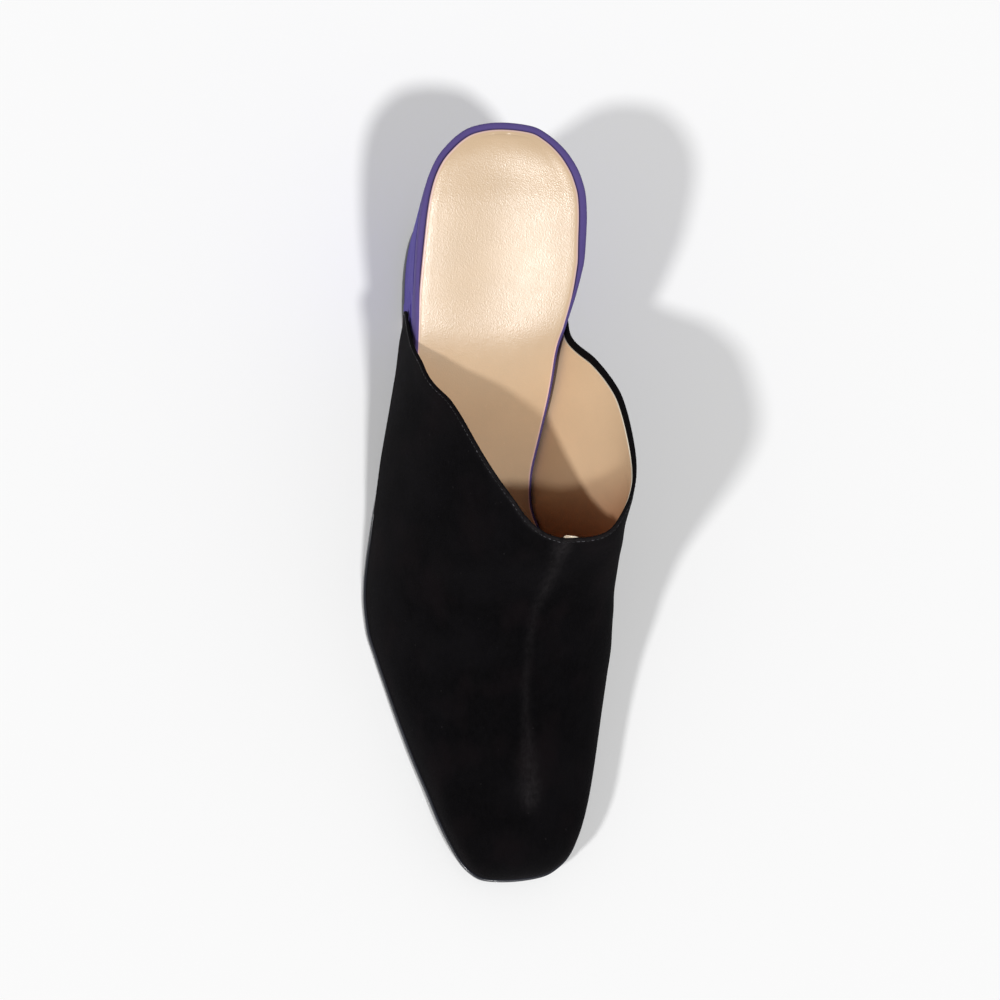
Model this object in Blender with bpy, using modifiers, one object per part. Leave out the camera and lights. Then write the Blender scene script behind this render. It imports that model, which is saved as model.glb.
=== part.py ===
"""Mule shoe for the right foot: a closed toe, an open back and a tall block heel.

Lengths are in metres. +X runs to the toe, +Y to the inner side of the foot, +Z is up and the floor is at zero.
Tables hold shares of the named sizes below. A share along the shoe is counted from the back of the heel seat.
"""

import math
from collections import namedtuple

import bmesh
import bpy
import numpy as np

# Named sizes
LENGTH = 0.2433  # back of the seat to the tip of the sole
HALF_BALL = 0.040  # half the width of the sole at the ball
HEEL_RISE = 0.080  # top of the seat's rim above the floor
WALL = 0.0014  # suede with its lining
GAP = 0.0003  # between pieces that meet
HEEL_TOP_GAP = 0.00039  # between the heel block and the insole, whose facets don't line up
UPPER_LIFT = 0.0005  # the upper's foot above the sole, where its wall leans out
RIM_WIDTH = 0.0023  # the insole's rim outside the sock
RIM_HEIGHT = 0.0080  # the insole's edge at the seat
BOARD = 0.0030  # the insole under the arch
SOCK = 0.0010
TOP_PIECE = 0.0060
FEATHER_OUT = 0.0004  # the upper's inner foot inside the sole's edge at the waist
FEATHER_IN = 0.0022  # the same at the forefoot, where the sole stands out
EDGE_ROUND = 0.0010
SEAT_RUN = 0.0652  # back of the seat to the front of its rim
FOOT_RUN = 0.0520  # the same under the heel, carried on past the breast
BACK_LEAN = 0.0082  # how far the seat's back stands behind the heel's foot
BREAST = 0.0440  # back of the heel's foot to its breast
BREAST_CORNER = 0.0030
FOREFOOT_FIT = 0.0008  # the insole's edge inside the upper's foot, in front of the ball
WELL_WALL = 0.00015  # run of the wall from the insole's rim down to the sock's bed
SOCK_SINK = 0.0001  # how far the sock's face lies below the rim's
HEEL_TUCK = 0.0005  # the block drawn in at its foot
NOSE_FOOT = 0.0240  # lowest place of the heel's nose above the top piece, where it leaves the block
NOSE_PLAY_BACK = 0.0002  # the nose inside the upper, besides GAP, under the seat
NOSE_PLAY_FRONT = 0.0008  # the same at its front
TOP_EDGE = 0.0006  # rounding of the top piece
UPPER_EDGE = 0.0004  # rounding of the upper's rims

# Where things lie along the shoe, as shares of LENGTH
TAB_START = 0.2120
SOLE_START = 0.2265
THROAT = 0.5660
NOSE_END = 0.5560
HEEL_FIT = 0.2300  # back of this the upper lies on the heel block
HEEL_FADE = 0.0800
NOSE_START = 0.2150
NOSE_CLEAR = 0.2500  # from here on the nose stands in front of the block
SEAT_END = 0.2350  # in front of this the insole's side follows the upper
TOE_CROWD = 0.8000  # from here to the tip the sole's ribs stand closer together
VAMP_END = 0.8600  # the same for the upper's
INNER_START = 0.7000  # from here to TOE_CROWD the insole comes in to the upper's foot

SoleRow = namedtuple("SoleRow", "along lateral medial under thick")
# Edges are shares of HALF_BALL, heights shares of HEEL_RISE
SOLE = (
    SoleRow(0.2265, -0.655, 0.535, 0.3340, 0.0225),
    SoleRow(0.2800, -0.700, 0.465, 0.3030, 0.0238),
    SoleRow(0.3220, -0.745, 0.405, 0.2570, 0.0263),
    SoleRow(0.3750, -0.805, 0.345, 0.1900, 0.0313),
    SoleRow(0.4290, -0.865, 0.330, 0.1150, 0.0363),
    SoleRow(0.4740, -0.925, 0.390, 0.0620, 0.0400),
    SoleRow(0.5110, -0.965, 0.525, 0.0285, 0.0425),
    SoleRow(0.5440, -1.000, 0.680, 0.0085, 0.0425),
    SoleRow(0.5730, -1.025, 0.825, 0.0000, 0.0425),
    SoleRow(0.6020, -1.037, 0.925, 0.0000, 0.0425),
    SoleRow(0.6390, -1.025, 1.000, 0.0000, 0.0425),
    SoleRow(0.6800, -0.968, 1.025, 0.0030, 0.0425),
    SoleRow(0.7250, -0.893, 0.993, 0.0085, 0.0425),
    SoleRow(0.7745, -0.808, 0.935, 0.0150, 0.0425),
    SoleRow(0.8240, -0.715, 0.873, 0.0250, 0.0413),
    SoleRow(0.8730, -0.612, 0.803, 0.0375, 0.0400),
    SoleRow(0.9140, -0.530, 0.728, 0.0525, 0.0388),
    SoleRow(0.9470, -0.447, 0.650, 0.0638, 0.0375),
    SoleRow(0.9720, -0.367, 0.553, 0.0750, 0.0375),
    SoleRow(0.9860, -0.293, 0.450, 0.0838, 0.0375),
    SoleRow(0.9950, -0.208, 0.338, 0.0888, 0.0375),
    SoleRow(1.0000, 0.050, 0.050, 0.0913, 0.0375),
)

SeatRow = namedtuple("SeatRow", "share lateral medial foot")
# The heel's outline at the seat and at its foot, against the share of its run. Widths are shares of HALF_BALL
SEAT = (
    SeatRow(0.0000, 0.000, 0.000, 0.000),
    SeatRow(0.0046, -0.205, 0.240, 0.105),
    SeatRow(0.0245, -0.308, 0.355, 0.205),
    SeatRow(0.0610, -0.400, 0.447, 0.290),
    SeatRow(0.1020, -0.462, 0.520, 0.345),
    SeatRow(0.1720, -0.545, 0.605, 0.408),
    SeatRow(0.2700, -0.613, 0.685, 0.458),
    SeatRow(0.3700, -0.650, 0.722, 0.490),
    SeatRow(0.4600, -0.674, 0.728, 0.510),
    SeatRow(0.6500, -0.705, 0.712, 0.535),
    SeatRow(0.8460, -0.718, 0.650, 0.550),
    SeatRow(1.0000, -0.722, 0.566, 0.620),
    SeatRow(1.1500, -0.722, 0.490, 0.680),
)

BedRow = namedtuple("BedRow", "along top")
# Height of the insole's rim, as shares of HEEL_RISE
BED = (
    BedRow(0.0000, 1.0000),
    BedRow(0.0330, 0.9860),
    BedRow(0.0900, 0.9400),
    BedRow(0.1510, 0.8760),
    BedRow(0.2310, 0.7890),
    BedRow(0.2700, 0.7440),
    BedRow(0.3080, 0.6880),
    BedRow(0.3490, 0.6090),
    BedRow(0.3900, 0.5060),
    BedRow(0.4310, 0.4000),
    BedRow(0.4720, 0.2950),
    BedRow(0.5130, 0.2030),
    BedRow(0.5500, 0.1390),
    BedRow(0.5870, 0.1050),
    BedRow(0.6240, 0.0930),
    BedRow(0.7000, 0.0950),
    BedRow(0.7800, 0.1060),
    BedRow(0.8600, 0.1230),
    BedRow(0.9250, 0.1440),
    BedRow(1.0000, 0.1760),
)

LastRow = namedtuple("LastRow", "along crest_along crest_out crest_top lateral lateral_power medial medial_power")
# The upper's inner surface. crest_top is a share of HEEL_RISE, crest_out and the two widths shares of HALF_BALL
LAST = (
    LastRow(0.2070, 0.2070, 0.200, 1.870, -1.000, 2.0, 0.850, 3.0),
    LastRow(0.2800, 0.2800, 0.200, 1.812, -0.922, 2.0, 0.838, 3.0),
    LastRow(0.3220, 0.3220, 0.208, 1.763, -0.793, 2.0, 0.930, 3.0),
    LastRow(0.3750, 0.3750, 0.220, 1.688, -0.793, 1.03, 1.025, 3.0),
    LastRow(0.4290, 0.4290, 0.228, 1.588, -0.853, 0.86, 1.035, 3.0),
    LastRow(0.4740, 0.4740, 0.240, 1.480, -0.905, 0.80, 1.030, 3.1),
    LastRow(0.5110, 0.5110, 0.262, 1.340, -0.925, 0.86, 1.015, 3.1),
    LastRow(0.5440, 0.5440, 0.275, 1.190, -0.948, 1.06, 0.975, 3.2),
    LastRow(0.5660, 0.5660, 0.266, 1.073, -0.965, 1.30, 0.975, 3.4),
    LastRow(0.5900, 0.5900, 0.230, 0.916, -0.978, 1.9, 1.000, 3.3),
    LastRow(0.6170, 0.6170, 0.184, 0.770, -0.982, 2.0, 1.025, 3.1),
    LastRow(0.6430, 0.6430, 0.153, 0.677, -0.968, 2.0, 1.043, 2.9),
    LastRow(0.6800, 0.6800, 0.133, 0.589, -0.918, 2.0, 1.035, 2.6),
    LastRow(0.7360, 0.7360, 0.118, 0.490, -0.838, 2.0, 0.972, 2.4),
    LastRow(0.7950, 0.7930, 0.108, 0.424, -0.745, 2.1, 0.905, 2.3),
    LastRow(0.8560, 0.8480, 0.102, 0.388, -0.645, 2.2, 0.828, 2.2),
    LastRow(0.9140, 0.8900, 0.100, 0.366, -0.535, 2.2, 0.725, 2.2),
    LastRow(0.9600, 0.9110, 0.100, 0.352, -0.415, 2.1, 0.590, 2.1),
    LastRow(0.9860, 0.9160, 0.100, 0.348, -0.285, 2.0, 0.440, 2.0),
    LastRow(1.0000, 0.9170, 0.100, 0.347, 0.050, 2.0, 0.050, 2.0),
)
SLOPE_SPAN = 0.0008  # share of LENGTH over which an edge's direction is read
TOE_FULLNESS = 0.72  # under 1 for a blunter nose than a plain ellipse
UNDERCUT_RISE = 0.75  # share of the section's height over which the waist's side comes in to the sole

CollarRow = namedtuple("CollarRow", "along lateral medial")
# The upper's free edge on its two sides, from the tab over the heel to the throat, as shares of HEEL_RISE
COLLAR = (
    CollarRow(0.2120, 0.400, 0.400),
    CollarRow(0.2165, 0.462, 0.460),
    CollarRow(0.2260, 0.530, 0.528),
    CollarRow(0.2417, 0.618, 0.616),
    CollarRow(0.2647, 0.712, 0.712),
    CollarRow(0.2830, 0.770, 0.782),
    CollarRow(0.3000, 0.818, 0.842),
    CollarRow(0.3190, 0.868, 0.916),
    CollarRow(0.3380, 0.916, 0.963),
    CollarRow(0.3600, 0.961, 1.001),
    CollarRow(0.3810, 0.993, 1.030),
    CollarRow(0.4010, 1.018, 1.043),
    CollarRow(0.4220, 1.038, 1.052),
    CollarRow(0.4420, 1.051, 1.060),
    CollarRow(0.4610, 1.061, 1.066),
    CollarRow(0.4810, 1.069, 1.071),
    CollarRow(0.5000, 1.074, 1.075),
    CollarRow(0.5360, 1.076, 1.076),
    CollarRow(0.5660, 1.073, 1.073),
)

# Heights of the heel block's loops, as shares of its own height, and how many points they have
HEEL_LEVELS = (0.0, 0.006, 0.10, 0.22, 0.34, 0.46, 0.54, 0.62, 0.72, 0.82, 0.92, 1.0)
BLOCK_BACK = 12
BLOCK_SIDE = 6
HEEL_COLOUR = (0.11, 0.08, 0.36)
HeelRow = namedtuple("HeelRow", "rise front")
# The heel block's front face: how far forward it stands, as shares of BREAST, against the share of the rise
HEEL = (
    HeelRow(0.00, 1.000),
    HeelRow(0.20, 1.022),
    HeelRow(0.42, 1.048),
    HeelRow(0.50, 1.056),
    HeelRow(0.57, 1.080),
    HeelRow(0.70, 1.190),
    HeelRow(0.84, 1.330),
    HeelRow(1.00, 1.420),
)


def start_scene():
    for old in list(bpy.data.objects):
        bpy.data.objects.remove(old, do_unlink=True)
    shoe = bpy.data.collections.new("mule_shoe")
    bpy.context.scene.collection.children.link(shoe)
    return shoe


def hermite(xs, ys, at):
    """Smooth curve through the points that never overshoots them."""
    xs = np.asarray(xs, float)
    ys = np.asarray(ys, float)
    at = np.asarray(at, float)
    step = np.diff(xs)
    rise = np.diff(ys) / step
    slope = np.zeros(len(xs))
    slope[0] = rise[0]
    slope[-1] = rise[-1]
    for i in range(1, len(xs) - 1):
        if rise[i - 1] * rise[i] > 0:
            before = 2 * step[i] + step[i - 1]
            after = step[i] + 2 * step[i - 1]
            slope[i] = (before + after) / (before / rise[i - 1] + after / rise[i])
    k = np.clip(np.searchsorted(xs, at, side="right") - 1, 0, len(xs) - 2)
    t = (at - xs[k]) / step[k]
    low = ys[k] * (1 + 2 * t) * (1 - t) ** 2 + slope[k] * step[k] * t * (1 - t) ** 2
    high = ys[k + 1] * t * t * (3 - 2 * t) + slope[k + 1] * step[k] * t * t * (t - 1)
    return low + high


def read(rows, column, at, scale=1.0):
    """A column of a table at a place given in the table's first column."""
    xs = [row[0] for row in rows]
    ys = [getattr(row, column) for row in rows]
    return hermite(xs, ys, np.clip(at, xs[0], xs[-1])) * scale


def from_tip(rows, column, at, scale):
    """The same for a width that closes round at the table's last row."""
    last = rows[-1][0]
    xs = [-math.sqrt(last - row[0]) for row in rows]
    ys = [getattr(row, column) for row in rows]
    return hermite(xs, ys, -np.sqrt(np.clip(last - np.asarray(at, float), 0.0, last - rows[0][0]))) * scale


def from_back(rows, column, at, scale):
    """The same for a width that closes round at the table's first row."""
    xs = [math.sqrt(row[0]) for row in rows]
    ys = [getattr(row, column) for row in rows]
    return hermite(xs, ys, np.sqrt(np.clip(at, 0.0, rows[-1][0]))) * scale


def smooth(t):
    t = np.clip(t, 0.0, 1.0)
    return t * t * (3 - 2 * t)


def sole_under(x):
    return read(SOLE, "under", x / LENGTH, HEEL_RISE)


def sole_top(x):
    return sole_under(x) + read(SOLE, "thick", x / LENGTH, HEEL_RISE)


def sole_edge(along, side):
    return from_tip(SOLE, side, along, HALF_BALL)


def bed_top(x):
    return read(BED, "top", x / LENGTH, HEEL_RISE)


def inset_loop(points, inset):
    """Moves a closed loop of plan points inwards. inset is one length or one for each point."""
    points = np.asarray(points, float)
    behind = np.roll(points, 1, axis=0)
    ahead = np.roll(points, -1, axis=0)
    doubled = np.linalg.norm(points - behind, axis=1) < 1e-9
    behind[doubled] = np.roll(points, 2, axis=0)[doubled]
    doubled = np.linalg.norm(points - ahead, axis=1) < 1e-9
    ahead[doubled] = np.roll(points, -2, axis=0)[doubled]
    before = points - behind
    after = ahead - points
    before /= np.maximum(np.linalg.norm(before, axis=1), 1e-12)[:, None]
    after /= np.maximum(np.linalg.norm(after, axis=1), 1e-12)[:, None]
    turn = before + after
    turn /= np.maximum(np.linalg.norm(turn, axis=1), 1e-12)[:, None]
    inward = np.stack([-turn[:, 1], turn[:, 0]], axis=1)
    mitre = np.maximum(np.einsum("ij,ij->i", turn, after), 0.6)
    return points + inward * (np.broadcast_to(inset, len(points)) / mitre)[:, None]


def plan_loop(alongs, lateral, medial):
    """Anticlockwise loop: out along the lateral side to the front, back along the medial side."""
    x = np.asarray(alongs) * LENGTH
    out = [(x[i], lateral[i]) for i in range(len(x))]
    back = [(x[i], medial[i]) for i in reversed(range(len(x)))]
    return np.array(out + back)


def feather_inset(along):
    return FEATHER_OUT + (FEATHER_IN - FEATHER_OUT) * smooth((along - 0.40) / 0.12)


def feather(alongs, side):
    """The upper's inner foot: the sole's edge moved inwards, in plan."""
    there = np.clip(np.asarray(alongs, float), SOLE_START, 1.0)
    low = np.clip(there - SLOPE_SPAN, SOLE_START, 1.0)
    high = np.clip(there + SLOPE_SPAN, SOLE_START, 1.0)
    dx = (high - low) * LENGTH
    dy = sole_edge(high, side) - sole_edge(low, side)
    away = 1.0 if side == "medial" else -1.0
    at_tip = there > 0.99999
    size = np.hypot(dx, dy)
    inward_x = np.where(at_tip, -1.0, away * dy / size)
    inward_y = np.where(at_tip, 0.0, -away * dx / size)
    inset = feather_inset(there)
    return there * LENGTH + inward_x * inset, sole_edge(there, side) + inward_y * inset


def heel_side(x, z, side):
    """The heel block's flank, carried up to the rim and on under the upper's tab."""
    rise = (z - TOP_PIECE) / (bed_top(x) - TOP_PIECE)
    run = FOOT_RUN + (SEAT_RUN - FOOT_RUN) * rise
    share = np.clip((x - BACK_LEAN * (1 - rise)) / run, 0.0, SEAT[-1].share)
    foot = from_back(SEAT, "foot", share, HALF_BALL)
    if side == "lateral":
        foot = -foot
    return foot * (1 - rise) + from_back(SEAT, side, share, HALF_BALL) * rise


def section(along, side, count, to_share=1.0):
    """One rib of the upper's inner surface from the sole's edge towards the crest, as x, y, z columns."""
    foot_x, foot_y = feather([max(along, SOLE_START)], side)
    foot_x = foot_x[0] if along >= SOLE_START else along * LENGTH
    foot_y = foot_y[0]
    foot_z = sole_top(foot_x) + UPPER_LIFT
    crest_x = read(LAST, "crest_along", along, LENGTH)
    crest_y = read(LAST, "crest_out", along, HALF_BALL)
    crest_z = read(LAST, "crest_top", along, HEEL_RISE)
    power = read(LAST, side + "_power", along)
    wide = from_tip(LAST, side, along, HALF_BALL)
    angle = np.linspace(0.0, math.asin(min(to_share, 1.0)), count)
    t = np.sin(angle)
    flat = np.maximum(np.cos(angle), 0.0) ** (2.0 / power)
    flat[t > 0.999999] = 0.0
    undercut = 1 - smooth(t / UNDERCUT_RISE)
    y = crest_y + (wide - crest_y) * flat - (wide - foot_y) * undercut
    x = crest_x + (foot_x - crest_x) * np.maximum(np.cos(angle), 0.0) ** TOE_FULLNESS
    x[t > 0.999999] = crest_x
    z = foot_z + (crest_z - foot_z) * t
    near_heel = 1 - smooth((x / LENGTH - HEEL_FIT) / HEEL_FADE)
    gap = GAP if side == "medial" else -GAP
    y = y * (1 - near_heel) + (heel_side(x, z, side) + gap) * near_heel
    return np.stack([x, y, z], axis=1)


def flank(x, z, side):
    """How far out a piece inside the upper may reach at a place and height."""
    out = []
    for one_x, one_z in zip(np.atleast_1d(x), np.atleast_1d(z)):
        along = one_x / LENGTH
        for _ in range(3):
            rib = section(along, side, 60)
            along += (one_x - np.interp(one_z, rib[:, 2], rib[:, 0])) / LENGTH
        out.append(np.interp(one_z, rib[:, 2], rib[:, 1]))
    gap = GAP if side == "medial" else -GAP
    return np.array(out) - gap


def add_object(collection, name, verts, faces, colour):
    mesh = bpy.data.meshes.new(name)
    mesh.from_pydata([tuple(float(c) for c in v) for v in verts], [], faces)
    build = bmesh.new()
    build.from_mesh(mesh)
    bmesh.ops.remove_doubles(build, verts=build.verts, dist=1e-6)
    bmesh.ops.recalc_face_normals(build, faces=build.faces)
    build.to_mesh(mesh)
    build.free()
    obj = bpy.data.objects.new(name, mesh)
    collection.objects.link(obj)
    material = bpy.data.materials.new(name)
    material.use_nodes = True
    material.node_tree.nodes["Principled BSDF"].inputs["Base Color"].default_value = (*colour, 1.0)
    mesh.materials.append(material)
    for polygon in mesh.polygons:
        polygon.use_smooth = True
    return obj


def stack(collection, name, levels, colour):
    """A closed piece from plan loops that lie one above another.

    The first loop closes the underside and the last the top, with a strip across for each pair of loop points.
    """
    count = len(levels[0])
    verts = [point for level in levels for point in level]
    faces = []
    for r in range(len(levels) - 1):
        for i in range(count):
            j = (i + 1) % count
            faces.append((r * count + i, r * count + j, (r + 1) * count + j, (r + 1) * count + i))
    for base in (0, (len(levels) - 1) * count):
        for i in range(count // 2 - 1):
            faces.append((base + i, base + i + 1, base + count - 2 - i, base + count - 1 - i))
    return add_object(collection, name, verts, faces, colour)


def plate(collection, name, loop, rings, colour):
    """A thin piece from a plan loop. Each ring is an inset and a function of x giving its height."""
    levels = []
    for inset, height in rings:
        moved = inset_loop(loop, inset)
        levels.append(np.column_stack([moved, height(moved[:, 0])]))
    return stack(collection, name, levels, colour)


def crowd_stop(start, stop, count):
    """Places from start to stop, closer together towards stop."""
    return start + (stop - start) * np.sin(np.pi / 2 * np.linspace(0.0, 1.0, count))


def crowd_start(start, stop, count):
    """Places from start to stop, closer together towards start."""
    return start + (stop - start) * (1 - np.cos(np.pi / 2 * np.linspace(0.0, 1.0, count)))


def crowd_tip(start, stop, count):
    """Places whose spacing shrinks to nothing at stop, for an outline that closes round."""
    t = np.linspace(0.0, 1.0, count)
    return stop - (stop - start) * (1 - t) ** 2


def make_outsole(collection):
    waist = np.linspace(SOLE_START, TOE_CROWD, 26)
    toe = crowd_tip(TOE_CROWD, 1.0, 14)[1:]
    alongs = np.concatenate([waist, toe])
    loop = plan_loop(alongs, sole_edge(alongs, "lateral"), sole_edge(alongs, "medial"))
    rings = (
        (EDGE_ROUND * 1.3, sole_under),
        (EDGE_ROUND * 0.35, lambda x: sole_under(x) + EDGE_ROUND * 0.35),
        (0.0, lambda x: sole_under(x) + EDGE_ROUND),
        (0.0, lambda x: sole_top(x) - EDGE_ROUND * 0.2),
        (EDGE_ROUND * 0.2, sole_top),
    )
    return plate(collection, "outsole", loop, rings, (0.02, 0.02, 0.035))


def insole_bottom(x):
    rim = RIM_HEIGHT + (BOARD - RIM_HEIGHT) * smooth((x / LENGTH - 0.27) / 0.12)
    on_sole = smooth((x / LENGTH - 0.51) / 0.07)
    board = (bed_top(x) - rim) * (1 - on_sole) + (sole_top(x) + GAP) * on_sole
    return np.maximum(board, sole_top(x) + GAP)


def insole_outline():
    """Plan loop of the insole: the seat's outline, then the inside of the upper."""
    back = SEAT_RUN * np.linspace(0.0, 1.0, 12) ** 2 / LENGTH
    middle = np.linspace(SEAT_RUN / LENGTH, TOE_CROWD, 22)[1:]
    toe = crowd_tip(TOE_CROWD, 1.0, 12)[1:]
    alongs = np.concatenate([back, middle, toe])
    sides = {}
    places = {}
    for side in ("lateral", "medial"):
        away = 1.0 if side == "medial" else -1.0
        x = alongs * LENGTH
        y = np.zeros(len(x))
        for i, along in enumerate(alongs):
            z = bed_top(x[i])
            if along < SEAT_END:
                y[i] = heel_side(x[i], z - RIM_HEIGHT * 0.5, side)
            elif along < TOE_CROWD:
                span = np.linspace(float(insole_bottom(x[i])), float(z), 4)
                y[i] = min(flank(np.full(4, x[i]), span, side) * away) * away
        foot_x, foot_y = feather(alongs, side)
        inner = smooth((alongs - INNER_START) / (TOE_CROWD - INNER_START))
        sides[side] = y * (1 - inner) + foot_y * inner
        places[side] = x * (1 - inner) + foot_x * inner
    out = [(places["lateral"][i], sides["lateral"][i]) for i in range(len(alongs))]
    home = [(places["medial"][i], sides["medial"][i]) for i in reversed(range(len(alongs)))]
    loop = np.array(out + home)
    shares = np.concatenate([alongs, alongs[::-1]])
    return loop, smooth((shares - INNER_START) / (TOE_CROWD - INNER_START))


def make_insole(collection, outline, forward):
    fit = forward * FOREFOOT_FIT
    rings = (
        (fit + EDGE_ROUND * 0.3, insole_bottom),
        (fit, lambda x: insole_bottom(x) + EDGE_ROUND * 0.3),
        (fit, lambda x: bed_top(x) - EDGE_ROUND),
        (fit + EDGE_ROUND * 0.3, lambda x: bed_top(x) - EDGE_ROUND * 0.3),
        (fit + EDGE_ROUND, bed_top),
        (fit + RIM_WIDTH, bed_top),
        (fit + RIM_WIDTH + WELL_WALL, lambda x: bed_top(x) - SOCK - SOCK_SINK),
    )
    return plate(collection, "insole", outline, rings, (0.10, 0.07, 0.32))


def make_sock(collection, outline, forward):
    lift = SOCK + SOCK_SINK - GAP
    fit = forward * FOREFOOT_FIT + RIM_WIDTH + WELL_WALL + GAP
    rings = (
        (fit, lambda x: bed_top(x) - lift),
        (fit, lambda x: bed_top(x) - lift + SOCK * 0.6),
        (fit + SOCK * 0.3, lambda x: bed_top(x) - lift + SOCK * 0.9),
        (fit + SOCK * 0.9, lambda x: bed_top(x) - lift + SOCK),
    )
    return plate(collection, "sock", outline, rings, (0.75, 0.52, 0.38))


def heel_block_level(rise, back_count, side_count):
    """One level loop of the block, tilting from the foot up to the seat."""
    front = read(HEEL, "front", rise, BREAST) + BACK_LEAN
    run = FOOT_RUN + (SEAT_RUN - FOOT_RUN) * rise
    back_x = BACK_LEAN * (1 - rise)
    share_front = (front - back_x) / run
    corner = BREAST_CORNER / run
    shares = np.concatenate([
        share_front * 0.45 * np.linspace(0.0, 1.0, back_count) ** 2,
        np.linspace(share_front * 0.45, share_front - corner, side_count)[1:],
        share_front - corner + corner * np.sin(np.linspace(0.0, np.pi / 2, 5)[1:]),
    ])
    pull = BREAST_CORNER * (1 - np.cos(np.linspace(0.0, np.pi / 2, 5)[1:]))
    loop = []
    for side in ("lateral", "medial"):
        away = 1.0 if side == "medial" else -1.0
        foot = from_back(SEAT, "foot", shares, HALF_BALL) * away
        seat = from_back(SEAT, side, shares, HALF_BALL)
        y = foot * (1 - rise) + seat * rise
        y[-4:] -= away * pull
        x = back_x + shares * run
        points = list(zip(x, y))
        loop += points if side == "lateral" else points[::-1]
    return np.array(loop)


def make_heel_block(collection):
    levels = []
    for share in HEEL_LEVELS:
        inset = HEEL_TUCK if share == 0.0 else 0.0
        x = inset_loop(heel_block_level(share, BLOCK_BACK, BLOCK_SIDE), inset)[:, 0]
        roof = insole_bottom(x) - HEEL_TOP_GAP
        z = TOP_PIECE + GAP + share * (roof - TOP_PIECE - GAP)
        rise = (z - TOP_PIECE) / (bed_top(x) - TOP_PIECE)
        loop = np.array([heel_block_level(one, BLOCK_BACK, BLOCK_SIDE)[i] for i, one in enumerate(rise)])
        for i in np.nonzero(loop[:, 0] > TAB_START * LENGTH)[0]:
            side = "lateral" if loop[i, 1] < 0 else "medial"
            reach = abs(float(flank(loop[i, 0], z[i], side)[0]))
            loop[i, 1] = math.copysign(min(abs(loop[i, 1]), reach), loop[i, 1])
        levels.append(np.column_stack([inset_loop(loop, inset), z]))
    return stack(collection, "heel", levels, HEEL_COLOUR)


def make_heel_nose(collection):
    """The wedge that carries the heel forward between the sole and the insole."""
    alongs = np.linspace(NOSE_START, NOSE_END, 18)
    columns = 4
    size = 2 * columns
    verts = []
    faces = []
    for along in alongs:
        x = along * LENGTH
        low = float(sole_top(x) + GAP)
        if along < NOSE_CLEAR:
            low = max(low, TOP_PIECE + NOSE_FOOT)
        heights = np.linspace(low, float(insole_bottom(x) - GAP), columns)
        forward = float(smooth((along - NOSE_CLEAR) / HEEL_FADE))
        inset = NOSE_PLAY_BACK + (NOSE_PLAY_FRONT - NOSE_PLAY_BACK) * forward
        left = flank(np.full(columns, x), heights, "lateral") + inset
        right = flank(np.full(columns, x), heights, "medial") - inset
        verts += [(x, left[k], heights[k]) for k in range(columns)]
        verts += [(x, right[k], heights[k]) for k in reversed(range(columns))]
    for r in range(len(alongs) - 1):
        for i in range(size):
            j = (i + 1) % size
            faces.append((r * size + i, (r + 1) * size + i, (r + 1) * size + j, r * size + j))
    faces.append(tuple(range(size)))
    faces.append(tuple((len(alongs) - 1) * size + i for i in reversed(range(size))))
    return add_object(collection, "heel_nose", verts, faces, HEEL_COLOUR)


def make_heel(collection):
    heel = make_heel_block(collection)
    nose = make_heel_nose(collection)
    join = heel.modifiers.new("nose", "BOOLEAN")
    join.operation = "UNION"
    join.solver = "EXACT"
    join.object = nose
    bake(heel)
    bpy.data.objects.remove(nose, do_unlink=True)
    return heel


def bake(obj):
    """Turns an object's modifiers into its mesh."""
    graph = bpy.context.evaluated_depsgraph_get()
    mesh = bpy.data.meshes.new_from_object(obj.evaluated_get(graph))
    obj.modifiers.clear()
    obj.data = mesh


def make_top_piece(collection):
    loop = heel_block_level(0.0, BLOCK_BACK, BLOCK_SIDE)
    rings = (
        (TOP_EDGE, 0.0),
        (TOP_EDGE / 3, TOP_EDGE / 3),
        (0.0, TOP_EDGE),
        (0.0, TOP_PIECE - TOP_EDGE * 2 / 3),
        (TOP_EDGE / 2, TOP_PIECE),
    )
    levels = [np.column_stack([inset_loop(loop, inset), np.full(len(loop), z)]) for inset, z in rings]
    return stack(collection, "top_piece", levels, (0.02, 0.03, 0.03))


def make_upper(collection):
    back = crowd_stop(TAB_START, THROAT, 27)
    front = crowd_start(THROAT, VAMP_END, 16)[1:]
    toe = crowd_tip(VAMP_END, 1.0, 12)[1:]
    alongs = np.concatenate([back, front, toe])
    rows = 11
    verts = []
    index = {}
    for side in ("lateral", "medial"):
        for i, along in enumerate(alongs):
            foot_z = float(sole_top(max(along, SOLE_START) * LENGTH) + UPPER_LIFT)
            crest_z = float(read(LAST, "crest_top", along, HEEL_RISE))
            stop = 1.0
            if along < THROAT:
                stop = (float(read(COLLAR, side, along, HEEL_RISE)) - foot_z) / (crest_z - foot_z)
            rib = section(along, side, rows, stop)
            for j in range(rows):
                index[side, i, j] = len(verts)
                verts.append(tuple(rib[j]))
    faces = []
    for side in ("lateral", "medial"):
        for i in range(len(alongs) - 1):
            for j in range(rows - 1):
                quad = (index[side, i, j], index[side, i + 1, j], index[side, i + 1, j + 1], index[side, i, j + 1])
                faces.append(quad if side == "lateral" else quad[::-1])
    upper = add_object(collection, "upper", verts, faces, (0.012, 0.011, 0.014))
    face_out(upper)
    shell = upper.modifiers.new("wall", "SOLIDIFY")
    shell.thickness = WALL
    shell.offset = 1.0
    shell.use_even_offset = True
    soft = upper.modifiers.new("edge", "BEVEL")
    soft.width = UPPER_EDGE
    soft.segments = 2
    soft.limit_method = "ANGLE"
    soft.angle_limit = math.radians(60)
    soft.use_clamp_overlap = True
    return upper


def face_out(obj):
    """Makes an open shell's normals point away from the foot."""
    mesh = obj.data
    total = sum(p.normal.z * p.area for p in mesh.polygons)
    if total < 0:
        mesh.flip_normals()


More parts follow.
